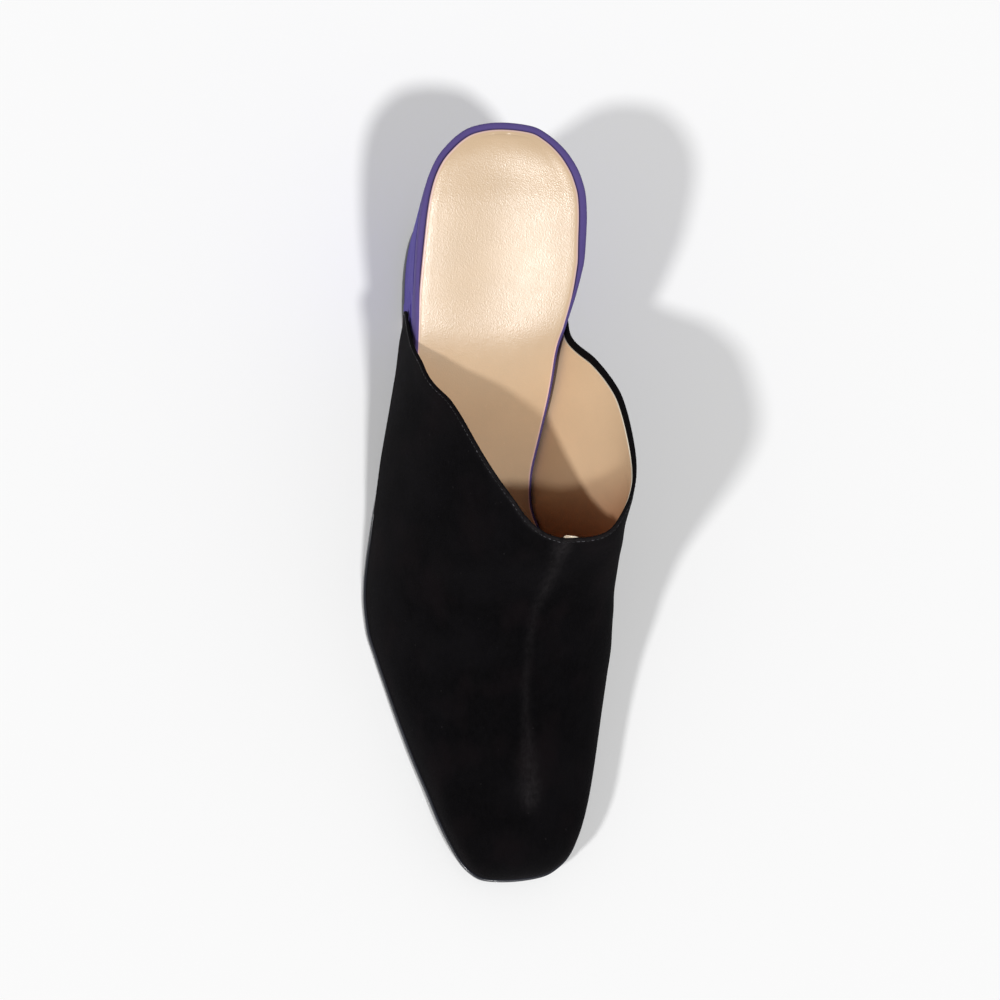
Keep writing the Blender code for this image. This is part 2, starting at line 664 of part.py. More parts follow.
def settle(objects):
    """Moves everything so the origin lies under the middle of the whole."""
    graph = bpy.context.evaluated_depsgraph_get()
    low = np.full(3, 1e9)
    high = np.full(3, -1e9)
    for obj in objects:
        mesh = obj.evaluated_get(graph).to_mesh()
        points = np.array([v.co[:] for v in mesh.vertices])
        low = np.minimum(low, points.min(axis=0))
        high = np.maximum(high, points.max(axis=0))
        obj.evaluated_get(graph).to_mesh_clear()
    middle = (low + high) / 2
    for obj in objects:
        for v in obj.data.vertices:
            v.co.x -= middle[0]
            v.co.y -= middle[1]
            v.co.z -= low[2]


def main():
    shoe = start_scene()
    outline, forward = insole_outline()
    pieces = [
        make_outsole(shoe),
        make_insole(shoe, outline, forward),
        make_sock(shoe, outline, forward),
        make_heel(shoe),
        make_top_piece(shoe),
        make_upper(shoe),
    ]
    settle(pieces)


main()
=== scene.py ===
"""Looks for the mule shoe: black suede upper, violet suede heel and insole, pale leather sock and lining.

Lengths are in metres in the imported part's own frame: +X to the toe, +Y to the inner side of the foot, +Z up.
The shoe is worked out as its maker's source does it, with x counted from the back of the heel seat, and each
mesh is then moved onto the frame.
"""

import math
from collections import namedtuple

import bmesh
import bpy
import numpy as np
from mathutils import Matrix, Vector
from mathutils.kdtree import KDTree


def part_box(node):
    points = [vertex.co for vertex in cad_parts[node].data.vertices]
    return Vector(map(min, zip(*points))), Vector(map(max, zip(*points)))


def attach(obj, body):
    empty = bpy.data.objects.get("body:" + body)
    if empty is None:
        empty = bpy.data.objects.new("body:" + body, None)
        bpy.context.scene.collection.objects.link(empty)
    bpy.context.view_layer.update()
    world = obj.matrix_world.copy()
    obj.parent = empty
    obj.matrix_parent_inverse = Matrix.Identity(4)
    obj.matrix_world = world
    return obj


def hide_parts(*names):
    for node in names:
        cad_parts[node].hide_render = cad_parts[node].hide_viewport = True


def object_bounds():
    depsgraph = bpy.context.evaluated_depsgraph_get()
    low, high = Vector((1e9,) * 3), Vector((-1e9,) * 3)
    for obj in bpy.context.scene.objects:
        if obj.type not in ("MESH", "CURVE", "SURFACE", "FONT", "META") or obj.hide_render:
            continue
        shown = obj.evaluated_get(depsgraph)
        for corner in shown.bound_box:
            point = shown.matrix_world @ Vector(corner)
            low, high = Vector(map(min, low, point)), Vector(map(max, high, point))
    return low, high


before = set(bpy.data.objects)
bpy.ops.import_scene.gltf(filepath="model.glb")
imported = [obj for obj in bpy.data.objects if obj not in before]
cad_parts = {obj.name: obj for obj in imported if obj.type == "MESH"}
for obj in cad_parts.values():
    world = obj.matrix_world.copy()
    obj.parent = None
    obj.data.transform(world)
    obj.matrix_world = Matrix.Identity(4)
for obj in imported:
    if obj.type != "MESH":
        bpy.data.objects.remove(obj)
CAD_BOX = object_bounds()

bl_info = {
    "name": "Mule shoe",
    "version": (1, 0, 0),
    "blender": (4, 5, 0),
    "location": "3D View > Sidebar > Mule",
    "description": "Builds the finished pieces of a closed-toe mule with a tall block heel",
    "category": "Add Mesh",
}

# Driving sizes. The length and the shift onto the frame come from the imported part
MM = 0.001
LENGTH = CAD_BOX[1].x - CAD_BOX[0].x
HALF_BALL = 0.040
HEEL_RISE = 0.080
WALL = 0.0014  # thickness of the suede
GAP = 0.0003  # air between two pieces
HEEL_TOP_GAP = 0.00039
RIM_BACK = 0.0020  # width of the insole's rim beside the sock, at the back of the seat
RIM_LATERAL = 0.0017
RIM_MEDIAL = 0.0024
RIM_NARROW = 0.0003
RIM_HEIGHT = 0.0080
SEAT_LEAN = 0.00050  # how far the rim's lower edge stands in under the seat
BOARD = 0.0030
SOCK = 0.0010
TOP_PIECE = 0.0060
FEATHER_OUT = 0.0004  # how far the upper's foot stands in from the sole's edge, under the waist
FEATHER_IN = 0.0022  # the same round the forefoot
UPPER_LIFT = 0.0005
EDGE_ROUND = 0.0010
SEAT_RUN = 0.0652
FOOT_RUN = 0.0520
BACK_LEAN = 0.0082
BREAST = 0.0440
BREAST_CORNER = 0.0030
BREAST_TOP = 0.0440  # height up to which the breast is covered
FOREFOOT_FIT = 0.0008
WELL_WALL = 0.00015
SOCK_SINK = 0.0001
HEEL_TUCK = 0.0005
TOP_EDGE = 0.0006

# Where things lie along the shoe, as shares of its length
TAB_START = 0.2120
SOLE_START = 0.2265
THROAT = 0.5660
HEEL_FIT = 0.2300
HEEL_FADE = 0.0800
SEAT_END = 0.2350
TOE_CROWD = 0.8000
VAMP_END = 0.8600
INNER_START = 0.7000  # from here to TOE_CROWD the insole comes in to the upper's foot
RIM_BESIDE = 0.0800  # from the back to here the rim takes on its sides' widths
RIM_FADE = (0.1400, 0.2700)  # between these the rim narrows
RIM_THIN = (0.2700, 0.3900)  # between these it thins down to the board
LEAN_END = (0.1900, 0.2400)
CUP_END = (0.2000, 0.3400)  # between these the hollow of the seat runs out
BOARD_DOWN = (0.5100, 0.5800)  # between these the board comes down onto the sole
FEATHER_TURN = (0.4000, 0.5200)
PAINTED_SHADE_SPAN = (0.4500, 0.5700)  # between these the leather inside the shoe takes on its painted shade
SLOPE_SPAN = 0.0008
TOE_FULLNESS = 0.72
UNDERCUT_RISE = 0.75

SoleRow = namedtuple("SoleRow", "along lateral medial under thick")
# Edges are shares of HALF_BALL, heights shares of HEEL_RISE
SOLE = (
    SoleRow(0.2265, -0.655, 0.535, 0.3340, 0.0225),
    SoleRow(0.2800, -0.700, 0.465, 0.3030, 0.0238),
    SoleRow(0.3220, -0.745, 0.405, 0.2570, 0.0263),
    SoleRow(0.3750, -0.805, 0.345, 0.1900, 0.0313),
    SoleRow(0.4290, -0.865, 0.330, 0.1150, 0.0363),
    SoleRow(0.4740, -0.925, 0.390, 0.0620, 0.0400),
    SoleRow(0.5110, -0.965, 0.525, 0.0285, 0.0425),
    SoleRow(0.5440, -1.000, 0.680, 0.0085, 0.0425),
    SoleRow(0.5730, -1.025, 0.825, 0.0000, 0.0425),
    SoleRow(0.6020, -1.037, 0.925, 0.0000, 0.0425),
    SoleRow(0.6390, -1.025, 1.000, 0.0000, 0.0425),
    SoleRow(0.6800, -0.968, 1.025, 0.0030, 0.0425),
    SoleRow(0.7250, -0.893, 0.993, 0.0085, 0.0425),
    SoleRow(0.7745, -0.808, 0.935, 0.0150, 0.0425),
    SoleRow(0.8240, -0.715, 0.873, 0.0250, 0.0413),
    SoleRow(0.8730, -0.612, 0.803, 0.0375, 0.0400),
    SoleRow(0.9140, -0.530, 0.728, 0.0525, 0.0388),
    SoleRow(0.9470, -0.447, 0.650, 0.0638, 0.0375),
    SoleRow(0.9720, -0.367, 0.553, 0.0750, 0.0375),
    SoleRow(0.9860, -0.293, 0.450, 0.0838, 0.0375),
    SoleRow(0.9950, -0.208, 0.338, 0.0888, 0.0375),
    SoleRow(1.0000, 0.050, 0.050, 0.0913, 0.0375),
)

SeatRow = namedtuple("SeatRow", "share lateral medial foot")
# The heel's outline at the seat and at its foot, against the share of its run. Widths are shares of HALF_BALL
SEAT = (
    SeatRow(0.0000, 0.000, 0.000, 0.000),
    SeatRow(0.0046, -0.107, 0.134, 0.105),
    SeatRow(0.0245, -0.246, 0.306, 0.205),
    SeatRow(0.0610, -0.350, 0.412, 0.290),
    SeatRow(0.1020, -0.428, 0.496, 0.345),
    SeatRow(0.1720, -0.528, 0.600, 0.408),
    SeatRow(0.2700, -0.606, 0.692, 0.458),
    SeatRow(0.3700, -0.650, 0.736, 0.490),
    SeatRow(0.4600, -0.674, 0.744, 0.510),
    SeatRow(0.6500, -0.705, 0.728, 0.535),
    SeatRow(0.8460, -0.718, 0.650, 0.550),
    SeatRow(1.0000, -0.722, 0.566, 0.620),
    SeatRow(1.1500, -0.722, 0.490, 0.680),
)

BedRow = namedtuple("BedRow", "along top")
# Height of the insole's rim, as shares of HEEL_RISE
BED = (
    BedRow(0.0000, 1.0000),
    BedRow(0.0330, 0.9860),
    BedRow(0.0900, 0.9400),
    BedRow(0.1510, 0.8760),
    BedRow(0.2310, 0.7890),
    BedRow(0.2700, 0.7440),
    BedRow(0.3080, 0.6880),
    BedRow(0.3490, 0.6090),
    BedRow(0.3900, 0.5060),
    BedRow(0.4310, 0.4000),
    BedRow(0.4720, 0.2950),
    BedRow(0.5130, 0.2030),
    BedRow(0.5500, 0.1390),
    BedRow(0.5870, 0.1050),
    BedRow(0.6240, 0.0930),
    BedRow(0.7000, 0.0950),
    BedRow(0.7800, 0.1060),
    BedRow(0.8600, 0.1230),
    BedRow(0.9250, 0.1440),
    BedRow(1.0000, 0.1760),
)

LastRow = namedtuple(
    "LastRow", "along crest_along crest_out crest_top lateral lateral_power medial medial_power"
)
# The upper's inner surface. crest_top is a share of HEEL_RISE, crest_out and both widths shares of HALF_BALL
LAST = (
    LastRow(0.2070, 0.2070, 0.200, 1.870, -1.000, 2.0, 0.850, 3.0),
    LastRow(0.2800, 0.2800, 0.200, 1.812, -0.922, 2.0, 0.838, 3.0),
    LastRow(0.3220, 0.3220, 0.208, 1.763, -0.793, 2.0, 0.930, 3.0),
    LastRow(0.3750, 0.3750, 0.220, 1.688, -0.793, 1.03, 1.025, 3.0),
    LastRow(0.4290, 0.4290, 0.228, 1.588, -0.853, 0.86, 1.035, 3.0),
    LastRow(0.4740, 0.4740, 0.240, 1.480, -0.905, 0.80, 1.030, 3.1),
    LastRow(0.5110, 0.5110, 0.262, 1.340, -0.925, 0.86, 1.015, 3.1),
    LastRow(0.5440, 0.5440, 0.275, 1.190, -0.948, 1.06, 0.975, 3.2),
    LastRow(0.5660, 0.5660, 0.266, 1.073, -0.965, 1.30, 0.975, 3.4),
    LastRow(0.5900, 0.5900, 0.230, 0.916, -0.978, 1.9, 1.000, 3.3),
    LastRow(0.6170, 0.6170, 0.184, 0.770, -0.982, 2.0, 1.025, 3.1),
    LastRow(0.6430, 0.6430, 0.153, 0.677, -0.968, 2.0, 1.043, 2.9),
    LastRow(0.6800, 0.6800, 0.133, 0.589, -0.918, 2.0, 1.035, 2.6),
    LastRow(0.7360, 0.7360, 0.118, 0.490, -0.838, 2.0, 0.972, 2.4),
    LastRow(0.7950, 0.7930, 0.108, 0.424, -0.745, 2.1, 0.905, 2.3),
    LastRow(0.8560, 0.8480, 0.102, 0.388, -0.645, 2.2, 0.828, 2.2),
    LastRow(0.9140, 0.8900, 0.100, 0.366, -0.535, 2.2, 0.725, 2.2),
    LastRow(0.9600, 0.9110, 0.100, 0.352, -0.415, 2.1, 0.590, 2.1),
    LastRow(0.9860, 0.9160, 0.100, 0.348, -0.285, 2.0, 0.440, 2.0),
    LastRow(1.0000, 0.9170, 0.100, 0.347, 0.050, 2.0, 0.050, 2.0),
)

CollarRow = namedtuple("CollarRow", "along lateral medial")
# The upper's free edge on its two sides, from the tab over the heel to the throat, as shares of HEEL_RISE
COLLAR = (
    CollarRow(0.2120, 0.400, 0.400),
    CollarRow(0.2165, 0.462, 0.460),
    CollarRow(0.2260, 0.530, 0.528),
    CollarRow(0.2417, 0.618, 0.616),
    CollarRow(0.2647, 0.712, 0.712),
    CollarRow(0.2830, 0.770, 0.782),
    CollarRow(0.3000, 0.818, 0.842),
    CollarRow(0.3190, 0.868, 0.916),
    CollarRow(0.3380, 0.916, 0.963),
    CollarRow(0.3600, 0.961, 1.001),
    CollarRow(0.3810, 0.993, 1.030),
    CollarRow(0.4010, 1.018, 1.043),
    CollarRow(0.4220, 1.038, 1.052),
    CollarRow(0.4420, 1.051, 1.060),
    CollarRow(0.4610, 1.061, 1.066),
    CollarRow(0.4810, 1.069, 1.071),
    CollarRow(0.5000, 1.074, 1.075),
    CollarRow(0.5360, 1.076, 1.076),
    CollarRow(0.5660, 1.073, 1.073),
)

HeelRow = namedtuple("HeelRow", "rise front")
# The heel block's front face: how far forward it stands, as shares of BREAST, against the share of the rise
HEEL = (
    HeelRow(0.00, 1.000),
    HeelRow(0.20, 1.022),
    HeelRow(0.42, 1.048),
    HeelRow(0.50, 1.056),
    HeelRow(0.57, 1.080),
    HeelRow(0.70, 1.190),
    HeelRow(0.84, 1.330),
    HeelRow(1.00, 1.420),
)

WearRow = namedtuple("WearRow", "along strength width aside")
# The rubbed nap down the vamp's crest: its half width, and how far it lies to the inner side of the crest
CREST_WEAR = (
    WearRow(0.545, 0.60, 0.0032, 0.0000),
    WearRow(0.566, 1.00, 0.0030, 0.0000),
    WearRow(0.590, 0.55, 0.0025, 0.0010),
    WearRow(0.615, 0.50, 0.0024, 0.0012),
    WearRow(0.645, 0.30, 0.0016, 0.0002),
    WearRow(0.720, 0.26, 0.0014, 0.0000),
    WearRow(0.790, 0.34, 0.0016, 0.0008),
    WearRow(0.850, 0.62, 0.0030, 0.0015),
    WearRow(0.885, 0.85, 0.0034, 0.0017),
    WearRow(0.915, 0.00, 0.0026, 0.0017),
)

Crease = namedtuple("Crease", "along_0 across_0 along_1 across_1 depth width")
# Soft troughs, and ridges where the depth is negative, laid one by one. Across runs from -1 at the lateral
# foot, over 0 at the crest, to 1 at the medial foot
CREASES = (
    Crease(0.612, -0.66, 0.630, -0.10, 0.00024, 0.0030),
    Crease(0.628, -0.64, 0.645, -0.14, -0.00014, 0.0030),
    Crease(0.652, -0.70, 0.660, -0.12, 0.00026, 0.0034),
    Crease(0.640, 0.14, 0.622, 0.68, 0.00022, 0.0032),
    Crease(0.668, 0.16, 0.656, 0.72, 0.00024, 0.0036),
    Crease(0.500, -0.30, 0.560, -0.62, 0.00020, 0.0042),
    Crease(0.420, 0.78, 0.500, 0.62, 0.00024, 0.0050),
    Crease(0.360, -0.86, 0.440, -0.78, 0.00020, 0.0045),
    Crease(0.740, -0.40, 0.820, -0.30, 0.00012, 0.0050),
    Crease(0.760, 0.34, 0.840, 0.42, 0.00012, 0.0050),
)
ACROSS_SPAN = 0.060  # length of a rib for which the creases are laid

# How finely the meshes are laid out: ribs behind the throat, in front of it and round the toe; rows on a rib
SUEDE_COUNTS = (104, 92, 44)
SUEDE_ROWS = 66
LINING_COUNTS = (80, 44, 26)
LINING_ROWS = 34
RIB_STEPS = 220
ROLL_STEPS = 6
FOLD_STEPS = 3
HEEL_BACK = 46
HEEL_SIDE = 26
HEEL_CORNER = 9
HEEL_LEVELS = 44


def hermite(xs, ys, at):
    """Smooth curve through the points that never overshoots them."""
    xs = np.asarray(xs, float)
    ys = np.asarray(ys, float)
    at = np.asarray(at, float)
    step = np.diff(xs)
    rise = np.diff(ys) / step
    slope = np.zeros(len(xs))
    slope[0] = rise[0]
    slope[-1] = rise[-1]
    for i in range(1, len(xs) - 1):
        if rise[i - 1] * rise[i] > 0:
            before = 2 * step[i] + step[i - 1]
            after = step[i] + 2 * step[i - 1]
            slope[i] = (before + after) / (before / rise[i - 1] + after / rise[i])
    k = np.clip(np.searchsorted(xs, at, side="right") - 1, 0, len(xs) - 2)
    t = (at - xs[k]) / step[k]
    low = ys[k] * (1 + 2 * t) * (1 - t) ** 2 + slope[k] * step[k] * t * (1 - t) ** 2
    high = ys[k + 1] * t * t * (3 - 2 * t) + slope[k + 1] * step[k] * t * t * (t - 1)
    return low + high


def read(rows, column, at, scale=1.0):
    """A column of a table at a place given in the table's first column."""
    xs = [row[0] for row in rows]
    ys = [getattr(row, column) for row in rows]
    return hermite(xs, ys, np.clip(at, xs[0], xs[-1])) * scale


def from_tip(rows, column, at, scale):
    """The same for a width that closes round at the table's last row."""
    last = rows[-1][0]
    xs = [-math.sqrt(last - row[0]) for row in rows]
    ys = [getattr(row, column) for row in rows]
    return hermite(xs, ys, -np.sqrt(np.clip(last - np.asarray(at, float), 0.0, last - rows[0][0]))) * scale


def from_back(rows, column, at, scale):
    """The same for a width that closes round at the table's first row."""
    xs = [math.sqrt(row[0]) for row in rows]
    ys = [getattr(row, column) for row in rows]
    return hermite(xs, ys, np.sqrt(np.clip(at, 0.0, rows[-1][0]))) * scale


def smooth(t):
    t = np.clip(t, 0.0, 1.0)
    return t * t * (3 - 2 * t)


def smooth_between(along, span):
    """Rises from 0 to 1 between the two places of a span."""
    return smooth((along - span[0]) / (span[1] - span[0]))


def unit(vectors):
    return vectors / np.maximum(np.linalg.norm(vectors, axis=1), 1e-12)[:, None]


def reach_along(line):
    """How far along a line each of its points lies."""
    steps = np.maximum(np.linalg.norm(np.diff(line, axis=0), axis=1), 1e-9)
    return np.concatenate([[0.0], np.cumsum(steps)])


def points_at(places, reach, line):
    return np.column_stack([np.interp(places, reach, line[:, k]) for k in range(3)])


def outward(side):
    """The sign of y on a side of the shoe."""
    return 1.0 if side == "medial" else -1.0


def bump_at(distance, width):
    """A soft hump of height one."""
    return np.exp(-((distance / width) ** 2))


def sole_under(x):
    return read(SOLE, "under", x / LENGTH, HEEL_RISE)


def sole_top(x):
    return sole_under(x) + read(SOLE, "thick", x / LENGTH, HEEL_RISE)


def sole_edge(along, side):
    return from_tip(SOLE, side, along, HALF_BALL)


def bed_top(x):
    return read(BED, "top", x / LENGTH, HEEL_RISE)


def inset_loop(points, inset):
    """Moves a closed loop of plan points inwards. inset is one length or one for each point."""
    points = np.asarray(points, float)
    behind = np.roll(points, 1, axis=0)
    ahead = np.roll(points, -1, axis=0)
    doubled = np.linalg.norm(points - behind, axis=1) < 1e-9
    behind[doubled] = np.roll(points, 2, axis=0)[doubled]
    doubled = np.linalg.norm(points - ahead, axis=1) < 1e-9
    ahead[doubled] = np.roll(points, -2, axis=0)[doubled]
    after = unit(ahead - points)
    turn = unit(unit(points - behind) + after)
    inward = np.stack([-turn[:, 1], turn[:, 0]], axis=1)
    mitre = np.maximum(np.einsum("ij,ij->i", turn, after), 0.6)
    return points + inward * (np.broadcast_to(inset, len(points)) / mitre)[:, None]


def plan_loop(alongs, lateral, medial):
    """Anticlockwise loop: out along the lateral side to the front, back along the medial side."""
    x = np.asarray(alongs) * LENGTH
    out = np.column_stack([x, lateral])
    back = np.column_stack([x, medial])[::-1]
    return np.vstack([out, back])


def feather(alongs, side):
    """The upper's inner foot: the sole's edge moved inwards, in plan."""
    there = np.clip(np.asarray(alongs, float), SOLE_START, 1.0)
    low = np.clip(there - SLOPE_SPAN, SOLE_START, 1.0)
    high = np.clip(there + SLOPE_SPAN, SOLE_START, 1.0)
    dx = (high - low) * LENGTH
    dy = sole_edge(high, side) - sole_edge(low, side)
    away = outward(side)
    at_tip = there > 0.99999
    size = np.hypot(dx, dy)
    inward_x = np.where(at_tip, -1.0, away * dy / size)
    inward_y = np.where(at_tip, 0.0, -away * dx / size)
    inset = FEATHER_OUT + (FEATHER_IN - FEATHER_OUT) * smooth_between(there, FEATHER_TURN)
    return there * LENGTH + inward_x * inset, sole_edge(there, side) + inward_y * inset


def heel_side(x, z, side):
    """The heel block's flank, carried up to the rim and on under the upper's tab."""
    rise = (z - TOP_PIECE) / (bed_top(x) - TOP_PIECE)
    run = FOOT_RUN + (SEAT_RUN - FOOT_RUN) * rise
    share = np.clip((x - BACK_LEAN * (1 - rise)) / run, 0.0, SEAT[-1].share)
    foot = from_back(SEAT, "foot", share, HALF_BALL) * outward(side)
    return foot * (1 - rise) + from_back(SEAT, side, share, HALF_BALL) * rise


def section(along, side, count, to_share=1.0):
    """One rib of the upper's inner surface from the sole's edge towards the crest, as x, y, z columns."""
    foot_x, foot_y = feather([max(along, SOLE_START)], side)
    foot_x = foot_x[0] if along >= SOLE_START else along * LENGTH
    foot_y = foot_y[0]
    foot_z = sole_top(foot_x) + UPPER_LIFT
    crest_x = read(LAST, "crest_along", along, LENGTH)
    crest_y = read(LAST, "crest_out", along, HALF_BALL)
    crest_z = read(LAST, "crest_top", along, HEEL_RISE)
    power = read(LAST, side + "_power", along)
    wide = from_tip(LAST, side, along, HALF_BALL)
    angle = np.linspace(0.0, math.asin(min(to_share, 1.0)), count)
    t = np.sin(angle)
    flat = np.maximum(np.cos(angle), 0.0) ** (2.0 / power)
    flat[t > 0.999999] = 0.0
    undercut = 1 - smooth(t / UNDERCUT_RISE)
    y = crest_y + (wide - crest_y) * flat - (wide - foot_y) * undercut
    x = crest_x + (foot_x - crest_x) * np.maximum(np.cos(angle), 0.0) ** TOE_FULLNESS
    x[t > 0.999999] = crest_x
    z = foot_z + (crest_z - foot_z) * t
    near_heel = 1 - smooth((x / LENGTH - HEEL_FIT) / HEEL_FADE)
    y = y * (1 - near_heel) + (heel_side(x, z, side) + GAP * outward(side)) * near_heel
    return np.stack([x, y, z], axis=1)


def flank(x, z, side):
    """How far out a piece inside the upper may reach at a place and height."""
    out = []
    for one_x, one_z in zip(np.atleast_1d(x), np.atleast_1d(z)):
        along = one_x / LENGTH
        for _ in range(3):
            rib = section(along, side, 60)
            along += (one_x - np.interp(one_z, rib[:, 2], rib[:, 0])) / LENGTH
        out.append(np.interp(one_z, rib[:, 2], rib[:, 1]))
    return np.array(out) - GAP * outward(side)


def crowd_stop(start, stop, count):
    """Places from start to stop, closer together towards stop."""
    return start + (stop - start) * np.sin(np.pi / 2 * np.linspace(0.0, 1.0, count))


def crowd_start(start, stop, count):
    """Places from start to stop, closer together towards start."""
    return start + (stop - start) * (1 - np.cos(np.pi / 2 * np.linspace(0.0, 1.0, count)))


def crowd_tip(start, stop, count):
    """Places whose spacing shrinks to nothing at stop, for an outline that closes round."""
    t = np.linspace(0.0, 1.0, count)
    return stop - (stop - start) * (1 - t) ** 2


# Onto the frame: the sole's tip is the frame's foremost point, and its widest places lie evenly about y = 0
TO_FRAME = np.array([
    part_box("outsole")[1].x - LENGTH,
    -HALF_BALL * (min(row.lateral for row in SOLE) + max(row.medial for row in SOLE)) / 2,
    0.0,
])


def make_piece(name, points, faces, material, replaced=(), marks=None, sharp=50.0):
    """A mesh of the shoe from points in the shoe's own sizes. marks are numbers for each point, by name."""
    mesh = bpy.data.meshes.new(name)
    mesh.from_pydata((np.asarray(points) + TO_FRAME).tolist(), [], faces)
    for mark, values in (marks or {}).items():
        layer = mesh.attributes.new(mark, "FLOAT", "POINT")
        layer.data.foreach_set("value", np.asarray(values, np.float32))
    build = bmesh.new()
    build.from_mesh(mesh)
    bmesh.ops.remove_doubles(build, verts=build.verts, dist=1e-6)
    bmesh.ops.recalc_face_normals(build, faces=build.faces)
    build.to_mesh(mesh)
    build.free()
    mesh.polygons.foreach_set("use_smooth", [True] * len(mesh.polygons))
    mesh.set_sharp_from_angle(angle=math.radians(sharp))
    mesh.materials.append(material)
    piece = bpy.data.objects.new(name, mesh)
    bpy.context.scene.collection.objects.link(piece)
    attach(piece, "root")
    if replaced:
        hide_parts(*replaced)
    return piece


def point_normals(points, faces):
    """Unit normals of a grid's points, from the quads round each."""
    quads = np.array(faces)
    corners = points[quads]
    across = np.cross(corners[:, 2] - corners[:, 0], corners[:, 3] - corners[:, 1])
    normals = np.zeros_like(points)
    for k in range(4):
        np.add.at(normals, quads[:, k], across)
    return unit(normals)


def sheet_quads(numbers):
    """Quads of a rectangle of point numbers."""
    corners = [numbers[:-1, :-1], numbers[1:, :-1], numbers[1:, 1:], numbers[:-1, 1:]]
    return np.stack(corners, axis=-1).reshape(-1, 4)


def collar_points():
    """The collar's line, close enough together to measure distances from."""
    alongs = crowd_stop(TAB_START, THROAT, 260)
    line = []
    for side in ("lateral", "medial"):
        part = []
        for along in alongs:
            foot_z = float(sole_top(max(along, SOLE_START) * LENGTH)) + UPPER_LIFT
            crest_z = float(read(LAST, "crest_top", along, HEEL_RISE))
            share = (float(read(COLLAR, side, along, HEEL_RISE)) - foot_z) / (crest_z - foot_z)
            part.append(section(along, side, 2, share)[-1])
        line += part if side == "lateral" else part[::-1]
    line = np.array(line)
    reach = reach_along(line)
    return points_at(np.linspace(0.0, reach[-1], int(reach[-1] / (0.08 * MM))), reach, line)


class Collar:
    """Distances from the upper's free edge."""

    def __init__(self):
        points = collar_points()
        self.tree = KDTree(len(points))
        for i, point in enumerate(points):
            self.tree.insert(point, i)
        self.tree.balance()

    def distance(self, points):
        return np.array([self.tree.find(point)[2] for point in points])

    def nearest(self, points):
        return np.array([self.tree.find(point)[0] for point in points])

    def throat(self, drop):
        """Where an edge that lies drop below the collar crosses the crest."""
        if drop <= 0.0:
            return THROAT
        alongs = np.linspace(THROAT, THROAT + 0.03, 60)
        crest = np.array([section(along, "lateral", 3)[-1] for along in alongs])
        return float(np.interp(drop, self.distance(crest), alongs))


COLLAR_LINE = Collar()


def rib_line(along, side, drop, throat, rows):
    """Points up one rib to the lowered edge or the crest, how far up each is, and the whole rib's length."""
    rib = section(along, side, RIB_STEPS)
    lengths = reach_along(rib)
    top = lengths[-1]
    if along < THROAT:
        top = np.interp(float(read(COLLAR, side, along, HEEL_RISE)), rib[:, 2], lengths)
    if drop > 0.0 and along < throat:
        near = np.nonzero(lengths > top - 12 * MM - 2 * drop)[0]
        away = COLLAR_LINE.distance(rib[near])
        inside = np.nonzero((away < drop) | (lengths[near] > top))[0]
        if len(inside) and inside[0] > 0:
            k = inside[0]
            if away[k - 1] > drop > away[k]:
                share = (away[k - 1] - drop) / (away[k - 1] - away[k])
            else:
                share = 1.0
            top = min(top, lengths[near[k - 1]] + share * (lengths[near[k]] - lengths[near[k - 1]]))
    u = np.linspace(0.0, 1.0, rows)
    at = top * (1 - (1 - u) ** 1.7)
    return points_at(at, lengths, rib), at, lengths[-1]


Grid = namedtuple("Grid", "points normals along across height rim faces loop free")


def upper_grid(drop, counts, rows):
    """The upper's surface on the last, with its free edge lowered by drop.

    loop runs round the whole edge and starts with the free edge, which is its first free points. across is
    the signed distance from the crest, height the distance above the foot and rim that from the collar.
    """
    throat = COLLAR_LINE.throat(drop)
    alongs = np.concatenate([
        crowd_stop(TAB_START + drop / LENGTH, throat, counts[0]),
        crowd_start(throat, VAMP_END, counts[1])[1:],
        crowd_tip(VAMP_END, 1.0, counts[2])[1:],
    ])
    open_ribs = counts[0] - 1
    count = len(alongs)
    index = np.zeros((2, count, rows), int)
    points = []
    facts = []
    for s, side in enumerate(("lateral", "medial")):
        sign = outward(side)
        for i, along in enumerate(alongs):
            line, at, whole = rib_line(along, side, drop, throat, rows)
            for j in range(rows):
                if s == 1 and (i == count - 1 or (j == rows - 1 and i >= open_ribs)):
                    index[1, i, j] = index[0, i, j]
                    continue
                index[s, i, j] = len(points)
                points.append(line[j])
                facts.append((line[j][0] / LENGTH, sign * (whole - at[j]), at[j]))
    faces = []
    for s in range(2):
        quads = sheet_quads(index[s])
        faces += (quads if s == 0 else quads[:, ::-1]).tolist()
    points = np.array(points)
    facts = np.array(facts)
    free = list(index[0, 0, :]) + list(index[0, 1:open_ribs + 1, -1])
    free += list(index[1, open_ribs - 1:0:-1, -1]) + list(index[1, 0, ::-1])
    foot = list(index[1, 1:, 0]) + list(index[0, -2:0:-1, 0])
    return Grid(points, point_normals(points, faces), facts[:, 0], facts[:, 1], facts[:, 2],
                COLLAR_LINE.distance(points), faces, np.array(free + foot), len(free))


